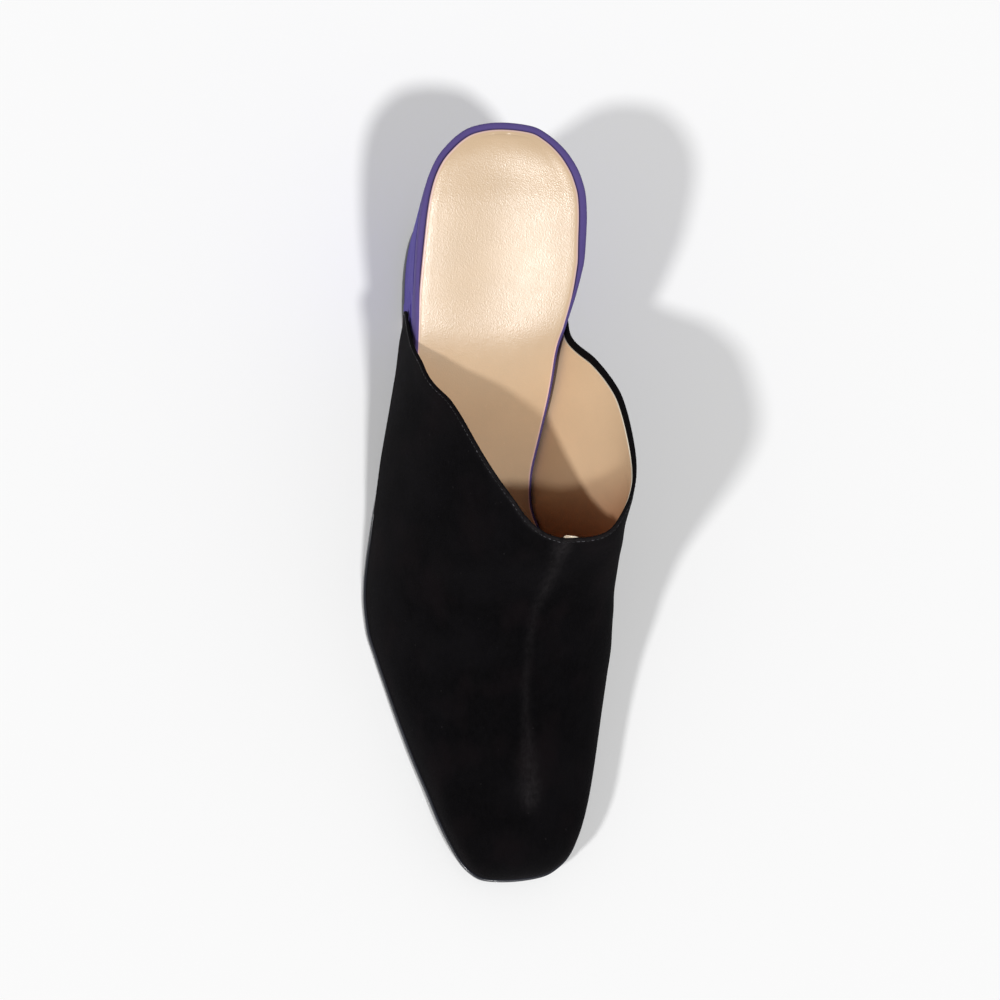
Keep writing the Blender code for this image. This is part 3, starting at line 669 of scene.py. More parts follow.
def relief(grid, sizes):
    """How far the suede stands off its plain surface: crest, turned edge, seam furrow, creases and slack."""
    x = grid.along * LENGTH
    share = np.clip(grid.across / ACROSS_SPAN, -1.2, 1.2)
    out = sizes.crest_ridge * bump_at(grid.across, 2.6 * MM) * smooth((0.93 - grid.along) / 0.12)
    out += sizes.fold_bulge * (1 - smooth((grid.rim - 5.5 * MM) / (2.5 * MM)))
    out -= sizes.seam_furrow * bump_at(grid.rim - sizes.seam_inset, 0.5 * MM)
    for crease in CREASES:
        start = np.array([crease.along_0 * LENGTH, crease.across_0 * ACROSS_SPAN])
        run = np.array([crease.along_1 * LENGTH, crease.across_1 * ACROSS_SPAN]) - start
        place = np.column_stack([x, share * ACROSS_SPAN]) - start
        t = np.clip(place @ run / (run @ run), 0.0, 1.0)
        apart = np.linalg.norm(place - t[:, None] * run, axis=1)
        out -= crease.depth * bump_at(apart, crease.width) * (0.35 + 0.65 * np.sin(np.pi * t))
    slack = np.sin(x / 0.017 + 0.9) * np.cos(grid.across / 0.013 + 0.4)
    slack += 0.6 * np.sin(x / 0.0083 + grid.across / 0.0105 + 2.1)
    out += 0.07 * MM * slack * smooth(grid.rim / (14 * MM))
    out += 0.05 * MM * np.sin(x / 0.0061 + grid.across / 0.021) * bump_at(grid.rim, 6 * MM)
    return out * smooth(grid.height / (7 * MM))


def strips(rings):
    """Quads between rings of point numbers that close on themselves."""
    faces = []
    for lower, upper in zip(rings[:-1], rings[1:]):
        ahead_low = np.roll(lower, -1)
        ahead_up = np.roll(upper, -1)
        faces += np.stack([lower, ahead_low, ahead_up, upper], axis=-1).tolist()
    return faces


def shell(outer, outer_points, inner, inner_points, rings):
    """A closed sheet from two grids and the rings of points that join their edges, from the outer one on."""
    points = [outer_points, inner_points]
    faces = list(outer.faces)
    base = len(outer_points)
    faces += [[base + i for i in reversed(face)] for face in inner.faces]
    start = base + len(inner_points)
    chains = [outer.loop]
    for ring in rings:
        points.append(ring)
        chains.append(np.arange(start, start + len(ring)))
        start += len(ring)
    chains.append(inner.loop + base)
    faces += strips(chains)
    return np.vstack(points), faces


def set_on_sole(points, loop, free):
    """Lets the foot of a shell down onto the sole."""
    foot = np.concatenate([loop[free - 1:], loop[:1]])
    points[foot, 2] = sole_top(points[foot, 0]) + 0.03 * MM


def edge_outward(grid, lower):
    """Unit directions in the surface, off the free edge, for each point of a grid's edge loop."""
    points = grid.points[grid.loop]
    normals = grid.normals[grid.loop]
    tangent = np.roll(points, -1, axis=0) - np.roll(points, 1, axis=0)
    out = unit(np.cross(tangent, normals))
    wrong = np.einsum("ij,ij->i", out, points - lower.points[lower.loop]) < 0
    out[wrong] *= -1
    return out


def make_upper(sizes, material):
    outer = upper_grid(sizes.edge_round, SUEDE_COUNTS, SUEDE_ROWS)
    inner = upper_grid(sizes.fold_depth, SUEDE_COUNTS, SUEDE_ROWS)
    high = WALL + relief(outer, sizes)
    outer_points = outer.points + outer.normals * high[:, None]
    inner_points = inner.points + inner.normals * sizes.lining_thickness * 1.12
    set_on_sole(outer_points, outer.loop, outer.free)
    set_on_sole(inner_points, inner.loop, inner.free)
    away = edge_outward(outer, inner)
    base = outer.points[outer.loop]
    normal = outer.normals[outer.loop]
    low_base = inner.points[inner.loop]
    low_normal = inner.normals[inner.loop]
    edge_high = high[outer.loop]
    is_free = np.arange(len(outer.loop)) < outer.free
    is_free[0] = False
    is_free[outer.free - 1] = False
    rings = []
    steps = ROLL_STEPS + FOLD_STEPS
    middle = (edge_high + sizes.fold_inside) / 2
    half = (edge_high - sizes.fold_inside) / 2
    for k in range(1, steps + 1):
        if k <= ROLL_STEPS:
            angle = math.pi * k / ROLL_STEPS
            deep = middle + half * math.cos(angle)
            ring = base + normal * deep[:, None] + away * sizes.edge_round * math.sin(angle)
        else:
            w = (k - ROLL_STEPS) / FOLD_STEPS
            bulge = sizes.fold_inside - 0.06 * MM * math.sin(math.pi * w)
            ring = base * (1 - w) + low_base * w + (normal * (1 - w) + low_normal * w) * bulge
        share = k / (steps + 1)
        plain = outer_points[outer.loop] * (1 - share) + inner_points[inner.loop] * share
        rings.append(np.where(is_free[:, None], ring, plain))
    points, faces = shell(outer, outer_points, inner, inner_points, rings)
    # The mark carries the crest's rubbed nap and the painted highlight round the collar.
    marks = {"worn": wear_and_edge_highlight_places(outer, len(points))}
    return make_piece("upper_suede", points, faces, material, ("upper",), marks)


def wear_and_edge_highlight_places(outer, total):
    """At each point of the upper: how rubbed the suede is down the crest, and round the collar a band that is
    partly rubbed nap and partly a painted highlight on the rolled edge.
    """
    count = len(outer.points)
    strength = read(CREST_WEAR, "strength", outer.along)
    width = read(CREST_WEAR, "width", outer.along)
    aside = read(CREST_WEAR, "aside", outer.along)
    strength *= outer.along > CREST_WEAR[0].along
    worn = strength * bump_at(outer.across - aside, width)
    lateral = np.interp(outer.along, [0.38, 0.45, THROAT], [0.0, 0.5, 0.9])
    medial = np.interp(outer.along, [0.50, THROAT], [0.1, 0.8])
    # Round the collar: partly rubbed nap, partly a painted highlight along the rolled edge, strongest towards
    # the throat.
    edge = np.where(outer.across < 0, lateral, medial) * bump_at(outer.rim - 0.6 * MM, 1.0 * MM)
    worn = np.maximum(worn, edge)
    rings = (total - 2 * count) // len(outer.loop)
    fades = [max(0.0, 1.0 - k / ROLL_STEPS) for k in range(rings)]
    return np.concatenate([worn, np.zeros(count)] + [worn[outer.loop] * fade for fade in fades])


def make_lining(sizes, material):
    """The lining inside the upper. A bit of its raw edge stands up at the throat."""
    drop = sizes.fold_depth - 0.15 * MM
    grid = upper_grid(drop, LINING_COUNTS, LINING_ROWS)
    throat = section(THROAT, "lateral", 3)[-1]
    near_throat = bump_at(np.linalg.norm(grid.points - throat, axis=1), 7.5 * MM)
    near_throat *= smooth((grid.across + MM) / (1.5 * MM)) * (1 - smooth((grid.rim - drop) / (2.5 * MM)))
    toward = unit(COLLAR_LINE.nearest(grid.points) - grid.points)
    ragged = 0.85 + 0.15 * np.sin(grid.across / (0.45 * MM))
    raised = (drop + sizes.lining_peek) * near_throat * ragged
    grid = grid._replace(points=grid.points + toward * raised[:, None])
    outer_points = grid.points + grid.normals * sizes.lining_thickness
    inner_points = grid.points + grid.normals * 0.02 * MM
    set_on_sole(outer_points, grid.loop, grid.free)
    set_on_sole(inner_points, grid.loop, grid.free)
    middle = (outer_points + inner_points)[grid.loop] / 2
    points, faces = shell(grid, outer_points, grid, inner_points, [middle])
    edge = 1 - smooth((grid.rim - drop) / (0.3 * MM))
    # Painted shade: darker towards the toe and away from the collar's edge.
    deep = painted_shade_share(grid.points) * smooth(grid.rim / (9 * MM))
    marks = {"edge": np.concatenate([edge, edge, edge[grid.loop]]),
             "deep": np.concatenate([deep, deep, deep[grid.loop]])}
    return make_piece("lining", points, faces, material, (), marks)


def make_stitches(sizes, material):
    """The row of thread round the collar, as one piece."""
    grid = upper_grid(sizes.seam_inset, LINING_COUNTS, 14)
    high = WALL + relief(grid, sizes)
    chain = grid.loop[2:grid.free - 2]
    line = (grid.points + grid.normals * high[:, None])[chain]
    normals = grid.normals[chain]
    reach = reach_along(line)
    around = 8
    stations = np.linspace(-1.0, 1.0, 9)
    points = []
    faces = []

    def at(columns, place):
        return np.array([np.interp(place, reach, columns[:, k]) for k in range(3)])

    for n in range(int((reach[-1] - sizes.stitch_pitch) / sizes.stitch_pitch)):
        centre = (n + 0.8) * sizes.stitch_pitch
        first = len(points)
        for u in stations:
            place = centre + u * sizes.stitch_length / 2
            tangent = at(line, place + 0.2 * MM) - at(line, place - 0.2 * MM)
            tangent /= np.linalg.norm(tangent)
            normal = at(normals, place)
            normal /= np.linalg.norm(normal)
            side = np.cross(tangent, normal)
            size = sizes.thread_width / 2 * max(0.0, 1 - abs(u) ** 3.5) ** 0.5 + 0.01 * MM
            lift = sizes.thread_width * (0.30 - 0.55 * abs(u) ** 3)
            middle = at(line, place) + normal * lift
            for k in range(around):
                turn = 2 * math.pi * k / around
                points.append(middle + side * size * math.cos(turn) + normal * size * 0.8 * math.sin(turn))
        for r in range(len(stations) - 1):
            for k in range(around):
                j = (k + 1) % around
                low = first + r * around
                faces.append([low + k, low + j, low + around + j, low + around + k])
        faces.append([first + k for k in reversed(range(around))])
        faces.append([first + (len(stations) - 1) * around + k for k in range(around)])
    return make_piece("collar_stitches", points, faces, material)


def plan_solid(loop, rings, across=1, crown=0.0):
    """Points and faces of a closed piece from a plan loop.

    Each ring is an inset and a height as a function of x. The first closes the underside and the last the top,
    whose strips are cut into across parts and crowned.
    """
    levels = []
    for inset, height in rings:
        moved = inset_loop(loop, inset)
        levels.append(np.column_stack([moved, height(moved[:, 0])]))
    return stack_levels(levels, across, crown)


def stack_levels(levels, across=1, crown=0.0):
    """The same from finished loops of points, one above another."""
    count = len(levels[0])
    half = count // 2
    points = [np.asarray(level, float) for level in levels]
    chains = [np.arange(count) + r * count for r in range(len(levels))]
    faces = strips(chains)
    low = chains[0]
    for i in range(half - 1):
        faces.append([low[i], low[count - 1 - i], low[count - 2 - i], low[i + 1]])
    start = count * len(levels)
    top = levels[-1]
    numbers = np.zeros((half, across + 1), int)
    numbers[:, 0] = chains[-1][:half]
    numbers[:, -1] = chains[-1][::-1][:half]
    for i in range(half):
        left = top[i]
        right = top[count - 1 - i]
        narrow = min(1.0, np.linalg.norm(right - left) / (20 * MM))
        for k in range(1, across):
            w = k / across
            point = left * (1 - w) + right * w
            point[2] += crown * (1 - abs(2 * w - 1) ** 2.6) * narrow
            points.append(point[None, :])
            numbers[i, k] = start
            start += 1
    for i in range(half - 1):
        for k in range(across):
            faces.append([numbers[i, k], numbers[i + 1, k], numbers[i + 1, k + 1], numbers[i, k + 1]])
    return np.vstack(points), faces


def level(value):
    """The same height everywhere."""
    return lambda x: np.full(len(x), value)


def make_outsole(material):
    alongs = np.concatenate([np.linspace(SOLE_START, TOE_CROWD, 110), crowd_tip(TOE_CROWD, 1.0, 60)[1:]])
    loop = plan_loop(alongs, sole_edge(alongs, "lateral"), sole_edge(alongs, "medial"))
    soft = EDGE_ROUND
    rings = (
        (soft * 3.2, sole_under),
        (soft * 1.3, sole_under),
        (soft * 0.7, lambda x: sole_under(x) + soft * 0.12),
        (soft * 0.28, lambda x: sole_under(x) + soft * 0.4),
        (0.0, lambda x: sole_under(x) + soft),
        (-soft * 0.04, lambda x: (sole_under(x) + sole_top(x)) / 2),
        (0.0, lambda x: sole_top(x) - soft * 0.45),
        (soft * 0.12, lambda x: sole_top(x) - soft * 0.12),
        (soft * 0.45, sole_top),
        (soft * 1.2, sole_top),
    )
    points, faces = plan_solid(loop, rings)
    return make_piece("outsole_edge", points, faces, material, ("outsole",), sharp=60)


def insole_bottom(x):
    rim = RIM_HEIGHT + (BOARD - RIM_HEIGHT) * smooth_between(x / LENGTH, RIM_THIN)
    on_sole = smooth_between(x / LENGTH, BOARD_DOWN)
    board = (bed_top(x) - rim) * (1 - on_sole) + (sole_top(x) + GAP) * on_sole
    return np.maximum(board, sole_top(x) + GAP)


def insole_outline():
    """Plan loop of the insole, from the seat's outline and the inside of the upper, and how far on it is."""
    back = SEAT_RUN * np.linspace(0.0, 1.0, 54) ** 2 / LENGTH
    middle = np.linspace(SEAT_RUN / LENGTH, TOE_CROWD, 70)[1:]
    toe = crowd_tip(TOE_CROWD, 1.0, 36)[1:]
    alongs = np.concatenate([back, middle, toe])
    overhang = BACK_LEAN * RIM_HEIGHT * 0.5 / (HEEL_RISE - TOP_PIECE)
    sides = {}
    places = {}
    inner = smooth_between(alongs, (INNER_START, TOE_CROWD))
    for side in ("lateral", "medial"):
        away = outward(side)
        x = alongs * LENGTH
        y = np.zeros(len(x))
        for i, along in enumerate(alongs):
            z = bed_top(x[i])
            if along < SEAT_END:
                inside = x[i] + overhang * max(0.0, 1 - x[i] / SEAT_RUN)
                y[i] = heel_side(inside, z - RIM_HEIGHT * 0.5, side)
            elif along < TOE_CROWD:
                span = np.linspace(float(insole_bottom(x[i])), float(z), 4)
                y[i] = min(flank(np.full(4, x[i]), span, side) * away) * away
        joint = int(np.searchsorted(alongs, SEAT_END))
        for _ in range(6):
            near = np.arange(joint - 5, joint + 5)
            y[near] = y[near] * 0.5 + (y[near - 1] + y[near + 1]) * 0.25
        foot_x, foot_y = feather(alongs, side)
        sides[side] = y * (1 - inner) + foot_y * inner
        places[side] = x * (1 - inner) + foot_x * inner
    out = np.column_stack([places["lateral"], sides["lateral"]])
    home = np.column_stack([places["medial"], sides["medial"]])[::-1]
    return np.vstack([out, home]), np.concatenate([inner, inner[::-1]])


def rim_width(outline):
    """The insole's rim beside the sock, which narrows towards the arch."""
    count = len(outline)
    along = outline[:, 0] / LENGTH
    beside = smooth(along / RIM_BESIDE)
    away = smooth_between(along, RIM_FADE)
    wide = np.where(np.arange(count) < count // 2, RIM_LATERAL, RIM_MEDIAL)
    side = wide * (1 - away) + RIM_NARROW * away
    return RIM_BACK * (1 - beside) + side * beside


def make_insole(outline, forward, material):
    fit = forward * FOREFOOT_FIT
    rim = np.maximum(rim_width(outline), EDGE_ROUND * 1.2)
    soft = EDGE_ROUND
    lean = SEAT_LEAN * (1 - smooth_between(outline[:, 0] / LENGTH, LEAN_END))
    rings = (
        (fit + lean + soft, insole_bottom),
        (fit + lean + soft * 0.3, insole_bottom),
        (fit + lean, lambda x: insole_bottom(x) + soft * 0.3),
        (fit + lean * 0.45 - 0.05 * MM * (1 - forward), lambda x: (insole_bottom(x) + bed_top(x)) / 2),
        (fit, lambda x: bed_top(x) - soft),
        (fit + soft * 0.13, lambda x: bed_top(x) - soft * 0.5),
        (fit + soft * 0.5, lambda x: bed_top(x) - soft * 0.13),
        (fit + soft, bed_top),
        (fit + np.maximum(rim - 0.35 * MM, soft * 1.05), bed_top),
        (fit + np.maximum(rim, soft * 1.15), lambda x: bed_top(x) - 0.15 * MM),
        (fit + np.maximum(rim, soft * 1.15) + WELL_WALL, lambda x: bed_top(x) - SOCK - SOCK_SINK),
    )
    points, faces = plan_solid(outline, rings)
    return make_piece("insole_cover", points, faces, material, ("insole",), sharp=60)


def make_sock(sizes, outline, forward, material):
    lift = SOCK + SOCK_SINK - GAP
    fit = forward * FOREFOOT_FIT + rim_width(outline) + WELL_WALL + GAP
    rings = (
        (fit, lambda x: bed_top(x) - lift),
        (fit, lambda x: bed_top(x) - lift + SOCK * 0.45),
        (fit + SOCK * 0.10, lambda x: bed_top(x) - lift + SOCK * 0.72),
        (fit + SOCK * 0.35, lambda x: bed_top(x) - lift + SOCK * 0.92),
        (fit + SOCK * 0.80, lambda x: bed_top(x) - lift + SOCK),
        (fit + SOCK * 1.60, lambda x: bed_top(x) - lift + SOCK * 1.04),
    )
    points, faces = plan_solid(outline, rings, 24, sizes.sock_crown)
    inside = np.arange(len(points)) >= len(outline) * len(rings)
    cup = sizes.sock_cup * (1 - smooth_between(points[:, 0] / LENGTH, CUP_END))
    cup *= smooth((points[:, 0] - 2 * MM) / (16 * MM))
    middle, half = seat_middle(outline, points[:, 0])
    hollow = np.maximum(0.0, 1 - ((points[:, 1] - middle) / half) ** 2) ** 2
    points[:, 2] -= np.where(inside, cup * hollow, 0.0)
    edge = np.zeros(len(points))
    edge[:len(outline) * 4] = 1.0
    # The deep mark is painted shade towards the toe, weaker than on the lining.
    marks = {"edge": edge, "deep": 0.75 * painted_shade_share(points)}
    return make_piece("sock_leather", points, faces, material, ("sock",), marks, sharp=60)


def painted_shade_share(points):
    """How much painted shade the points get deep inside the upper, from 0 to 1."""
    return smooth_between(points[:, 0] / LENGTH, PAINTED_SHADE_SPAN)


def seat_middle(outline, x):
    """The middle of the insole's outline and half its width, at places along the shoe."""
    half = len(outline) // 2
    lateral = np.interp(x, outline[:half, 0], outline[:half, 1])
    medial = np.interp(x, outline[half:, 0][::-1], outline[half:, 1][::-1])
    return (lateral + medial) / 2, np.maximum((medial - lateral) / 2, MM)


def heel_shares():
    """The heel loop's points as shares of its front and its corner: round the back, the flank, the corner."""
    back = 0.45 * np.linspace(0.0, 1.0, HEEL_BACK) ** 2
    side = np.linspace(0.0, 1.0, HEEL_SIDE)[1:]
    turn = np.linspace(0.0, np.pi / 2, HEEL_CORNER)[1:]
    fronts = np.concatenate([back, 0.45 + 0.55 * side, np.ones(len(turn))])
    corners = np.concatenate([back * 0, -side, np.sin(turn) - 1])
    pulls = np.concatenate([back * 0, side * 0, 1 - np.cos(turn)])
    return fronts, corners, pulls


def heel_points(rise, side):
    """Plan points of the heel block's flank at the given shares of the rise, one for each point."""
    fronts, corners, pulls = heel_shares()
    front = read(HEEL, "front", rise, BREAST) + BACK_LEAN
    run = FOOT_RUN + (SEAT_RUN - FOOT_RUN) * rise
    back_x = BACK_LEAN * (1 - rise)
    shares = (front - back_x) / run * fronts + BREAST_CORNER / run * corners
    away = outward(side)
    foot = from_back(SEAT, "foot", shares, HALF_BALL) * away
    seat = from_back(SEAT, side, shares, HALF_BALL)
    y = foot * (1 - rise) + seat * rise - away * pulls * BREAST_CORNER
    return back_x + shares * run, y


def heel_loop(rise):
    """The whole loop, where rise is one number or one for each of its points."""
    half = len(heel_shares()[0])
    rise = np.broadcast_to(np.asarray(rise, float), 2 * half)
    lateral = np.column_stack(heel_points(rise[:half], "lateral"))
    medial = np.column_stack(heel_points(rise[half:][::-1], "medial"))[::-1]
    return np.vstack([lateral, medial])


def heel_levels():
    """The heel's loops from its foot to the insole, kept clear of the upper's inside."""
    levels = []
    for share in np.concatenate([[0.0, 0.006, 0.02], np.linspace(0.05, 1.0, HEEL_LEVELS)]):
        inset = HEEL_TUCK * (1 - smooth(share / 0.012))
        x = inset_loop(heel_loop(share), inset)[:, 0]
        roof = insole_bottom(x) - HEEL_TOP_GAP
        z = TOP_PIECE + GAP * 0.3 + share * (roof - TOP_PIECE - GAP * 0.3)
        rise = (z - TOP_PIECE) / (bed_top(x) - TOP_PIECE)
        loop = heel_loop(rise)
        for i in np.nonzero(loop[:, 0] > TAB_START * LENGTH)[0]:
            side = "lateral" if loop[i, 1] < 0 else "medial"
            reach = abs(float(flank(loop[i, 0], z[i], side)[0]))
            loop[i, 1] = math.copysign(min(abs(loop[i, 1]), reach), loop[i, 1])
        levels.append(np.column_stack([inset_loop(loop, inset), z]))
    return levels


def make_heel(material):
    points, faces = stack_levels(heel_levels())
    return make_piece("heel_cover", points, faces, material, ("heel",), sharp=60)


def make_breast_cover(sizes, material):
    """The strip of suede that covers the heel's breast and is turned round onto its flanks."""
    half = len(heel_shares()[0])
    places = np.linspace(0.0, sizes.breast_seam + 2 * BREAST_CORNER, 26)
    front = np.linspace(0.0, 1.0, 14)[1:-1, None]
    grid = []
    for level_points in heel_levels():
        if level_points[half - 1, 2] > BREAST_TOP:
            continue
        strip = []
        for line in (level_points[:half][::-1], level_points[half:]):
            strip.append(points_at(places, reach_along(line[:, :2]), line))
        middle = strip[0][0] * (1 - front) + strip[1][0] * front
        grid.append(np.vstack([strip[0][::-1], middle, strip[1]]))
    grid = np.array(grid)
    height, width = grid.shape[:2]
    base = grid.reshape(-1, 3)
    numbers = np.arange(height * width).reshape(height, width)
    faces = sheet_quads(numbers)[:, ::-1].tolist()
    normals = point_normals(base, faces)
    if normals[numbers[height // 2, width // 2], 0] < 0:
        normals = -normals
    lip = np.minimum(np.arange(width), np.arange(width)[::-1])
    lip = np.clip(lip / 2.5, 0.0, 1.0)
    lip = np.sqrt(1 - (1 - lip) ** 2)
    raised = np.tile(0.02 * MM + sizes.cover_thickness * lip, height)
    outer = base + normals * raised[:, None]
    inner = base - normals * 0.25 * MM
    loop = np.concatenate([numbers[0, :], numbers[1:, -1], numbers[-1, -2::-1], numbers[-2:0:-1, 0]])
    count = len(base)
    faces += [[count + i for i in reversed(face)] for face in faces]
    faces += strips([loop, loop + count])
    return make_piece("breast_cover", np.vstack([outer, inner]), faces, material)


def cut_loop(loop, from_x, to_x):
    """The part of a heel loop between two places along the shoe, as a loop of its own."""
    half = len(loop) // 2
    sides = []
    for part in (loop[:half], loop[half:][::-1]):
        inside = part[(part[:, 0] > from_x) & (part[:, 0] < to_x)]
        rows = [inside]
        if part[:, 0].min() < from_x:
            rows.insert(0, [[from_x, np.interp(from_x, part[:, 0], part[:, 1])]])
        if part[:, 0].max() > to_x:
            rows.append([[to_x, np.interp(to_x, part[:, 0], part[:, 1])]])
        sides.append(np.vstack(rows))
    if len(sides[0]) != len(sides[1]):
        raise ValueError("the top piece's two sides don't match")
    return np.vstack([sides[0], sides[1][::-1]])


def top_piece_part(name, from_x, to_x, material):
    loop = cut_loop(heel_loop(0.0), from_x, to_x)
    soft = TOP_EDGE
    rings = (
        (soft * 1.8, level(0.0)),
        (soft, level(0.0)),
        (soft * 0.3, level(soft * 0.3)),
        (0.0, level(soft)),
        (0.0, level(TOP_PIECE - soft * 0.5)),
        (soft * 0.15, level(TOP_PIECE - soft * 0.15)),
        (soft * 0.5, level(TOP_PIECE)),
        (soft * 1.2, level(TOP_PIECE)),
    )
    points, faces = plan_solid(loop, rings)
    return make_piece(name, points, faces, material, ("top_piece",), sharp=60)


class Value:
    """A shader socket that can be used in sums and products."""

    def __init__(self, finish, socket):
        self.finish = finish
        self.socket = socket

    def sum(self, operation, first, second):
        return self.finish.node("ShaderNodeMath", {"operation": operation}, {0: first, 1: second})

    def __add__(self, other):
        return self.sum("ADD", self, other)

    def __radd__(self, other):
        return self.sum("ADD", other, self)

    def __mul__(self, other):
        return self.sum("MULTIPLY", self, other)

    def __rmul__(self, other):
        return self.sum("MULTIPLY", other, self)


class Finish:
    """A material whose one shader is fed by the expressions of its maker."""

    def __init__(self, name, **settings):
        self.material = bpy.data.materials.new(name)
        self.material.use_nodes = True
        self.tree = self.material.node_tree
        self.tree.nodes.clear()
        self.shader = self.tree.nodes.new("ShaderNodeBsdfPrincipled")
        output = self.tree.nodes.new("ShaderNodeOutputMaterial")
        self.tree.links.new(self.shader.outputs[0], output.inputs["Surface"])
        self.set(self.shader, settings)

    def set(self, node, sockets):
        for key, value in sockets.items():
            socket = node.inputs[key]
            if isinstance(value, Value):
                self.tree.links.new(value.socket, socket)
            elif hasattr(value, "__len__") and len(value) == 3 and socket.type == "RGBA":
                socket.default_value = (*value, 1.0)
            else:
                socket.default_value = value

    def node(self, kind, settings, sockets, output=0):
        made = self.tree.nodes.new(kind)
        for key, value in settings.items():
            if key == "stops":
                ramp = made.color_ramp
                while len(ramp.elements) < len(value):
                    ramp.elements.new(0.5)
                for element, (position, tone) in zip(ramp.elements, value):
                    element.position = position
                    element.color = (tone, tone, tone, 1.0)
            else:
                setattr(made, key, value)
        self.set(made, sockets)
        return Value(self, made.outputs[output])

    def feed(self, **sockets):
        """Feeds the shader and hands over the material. An underscore stands for a blank in a name."""
        self.set(self.shader, {key.replace("_", " "): value for key, value in sockets.items()})
        return self.material

    def place(self, stretch=(1.0, 1.0, 1.0)):
        """The surface's own place in metres."""
        spot = self.node("ShaderNodeTexCoord", {}, {}, "Object")
        if stretch == (1.0, 1.0, 1.0):
            return spot
        return self.node("ShaderNodeVectorMath", {"operation": "MULTIPLY"}, {0: spot, 1: stretch})

    def noise(self, size, detail=2.0, roughness=0.5, stretch=(1.0, 1.0, 1.0)):
        """Cloudy variation from 0 to 1 with features of the given size."""
        spot = self.place(stretch)
        sockets = {"Vector": spot, "Scale": 1.0 / size, "Detail": detail, "Roughness": roughness}
        return self.node("ShaderNodeTexNoise", {}, sockets, "Fac")

    def cells(self, size):
        """Distance from the middle of pebbles of the given size."""
        sockets = {"Vector": self.place(), "Scale": 1.0 / size}
        return self.node("ShaderNodeTexVoronoi", {"feature": "F1"}, sockets, "Distance")

    def ramp(self, value, *stops):
        return self.node("ShaderNodeValToRGB", {"stops": stops}, {"Fac": value})

    def mark(self, name):
        """The numbers that a piece carries under this name."""
        return self.node("ShaderNodeAttribute", {"attribute_name": name}, {}, "Fac")

    def mix(self, share, first, second):
        """One colour towards another."""
        settings = {"data_type": "RGBA", "blend_type": "MIX"}
        return self.node("ShaderNodeMix", settings, {0: share, 6: first, 7: second}, 2)

    def bump(self, height, depth, strength=1.0, over=None):
        """A relief of the given depth in metres. over is a bump that lies under it."""
        sockets = {"Height": height, "Distance": depth, "Strength": strength}
        if over is not None:
            sockets["Normal"] = over
        return self.node("ShaderNodeBump", {}, sockets, "Normal")


def shade(colour, share):
    return tuple(min(1.0, c * share) for c in colour)


def black_suede(colours):
    finish = Finish("black_suede", **{"Roughness": 0.94, "Specular IOR Level": 0.02, "Sheen Weight": 0.013,
                                      "Sheen Roughness": 0.5, "Sheen Tint": (0.75, 0.70, 0.78)})
    nap = finish.noise(0.45 * MM, 3.0, 0.7)
    brushed = finish.noise(2.4 * MM, 4.0, 0.65, (1.0, 1.6, 1.0))
    patch = finish.ramp(finish.noise(26 * MM, 3.0, 0.6), (0.42, 0.0), (0.68, 1.0))
    warm = finish.ramp(finish.noise(17 * MM, 2.0, 0.5, (1.0, 1.3, 0.8)), (0.50, 0.0), (0.72, 1.0))
    tone = finish.mix(patch, shade(colours.suede, 0.7), shade(colours.suede, 1.9))
    tone = finish.mix(warm * 0.6, tone, colours.suede_warm)
    tone = finish.mix(nap * brushed * 1.2, tone, shade(colours.suede, 3.0))
    # Rubbed nap down the crest, and a painted highlight along the collar's edge.
    rubbed = finish.mark("worn") * (0.30 + finish.ramp(brushed, (0.3, 0.0), (0.72, 1.0)) * 0.9)
    tone = finish.mix(rubbed, tone, colours.suede_worn_and_edge_lit)
    lint = finish.ramp(finish.noise(1.5 * MM, 1.0, 0.5), (0.775, 0.0), (0.81, 1.0))
    tone = finish.mix(lint * 0.5, tone, colours.suede_worn_and_edge_lit)
    fine = finish.bump(nap, 0.10 * MM, 0.7)
    coarse = finish.bump(brushed, 0.30 * MM, 0.5, fine)
    return finish.feed(Base_Color=tone, Normal=coarse)


def violet_suede(name, colours, greyed=0.0):
    """Violet suede. greyed is how far it goes towards the duller tone of the insole's thin rim."""
    finish = Finish(name, **{"Roughness": 0.92, "Specular IOR Level": 0.2, "Sheen Weight": 0.06,
                             "Sheen Roughness": 0.45, "Sheen Tint": (0.55, 0.48, 0.95)})
    nap = finish.noise(0.42 * MM, 3.0, 0.7)
    brushed = finish.noise(2.2 * MM, 4.0, 0.65)
    patch = finish.ramp(finish.noise(11 * MM, 4.0, 0.62), (0.34, 0.0), (0.66, 1.0))
    cloud = finish.ramp(finish.noise(24 * MM, 2.0, 0.5), (0.35, 0.0), (0.7, 1.0))
    tone = finish.mix(patch * 0.75, colours.violet, colours.violet_light)
    tone = finish.mix(cloud * 0.5, tone, colours.violet_dark)
    tone = finish.mix(nap * brushed * 0.9, tone, shade(colours.violet_light, 1.15))
    if greyed:
        tone = finish.mix(greyed, tone, colours.violet_rim)
    fine = finish.bump(nap, 0.10 * MM, 0.7)
    coarse = finish.bump(brushed, 0.28 * MM, 0.45, fine)
    return finish.feed(Base_Color=tone, Normal=coarse)


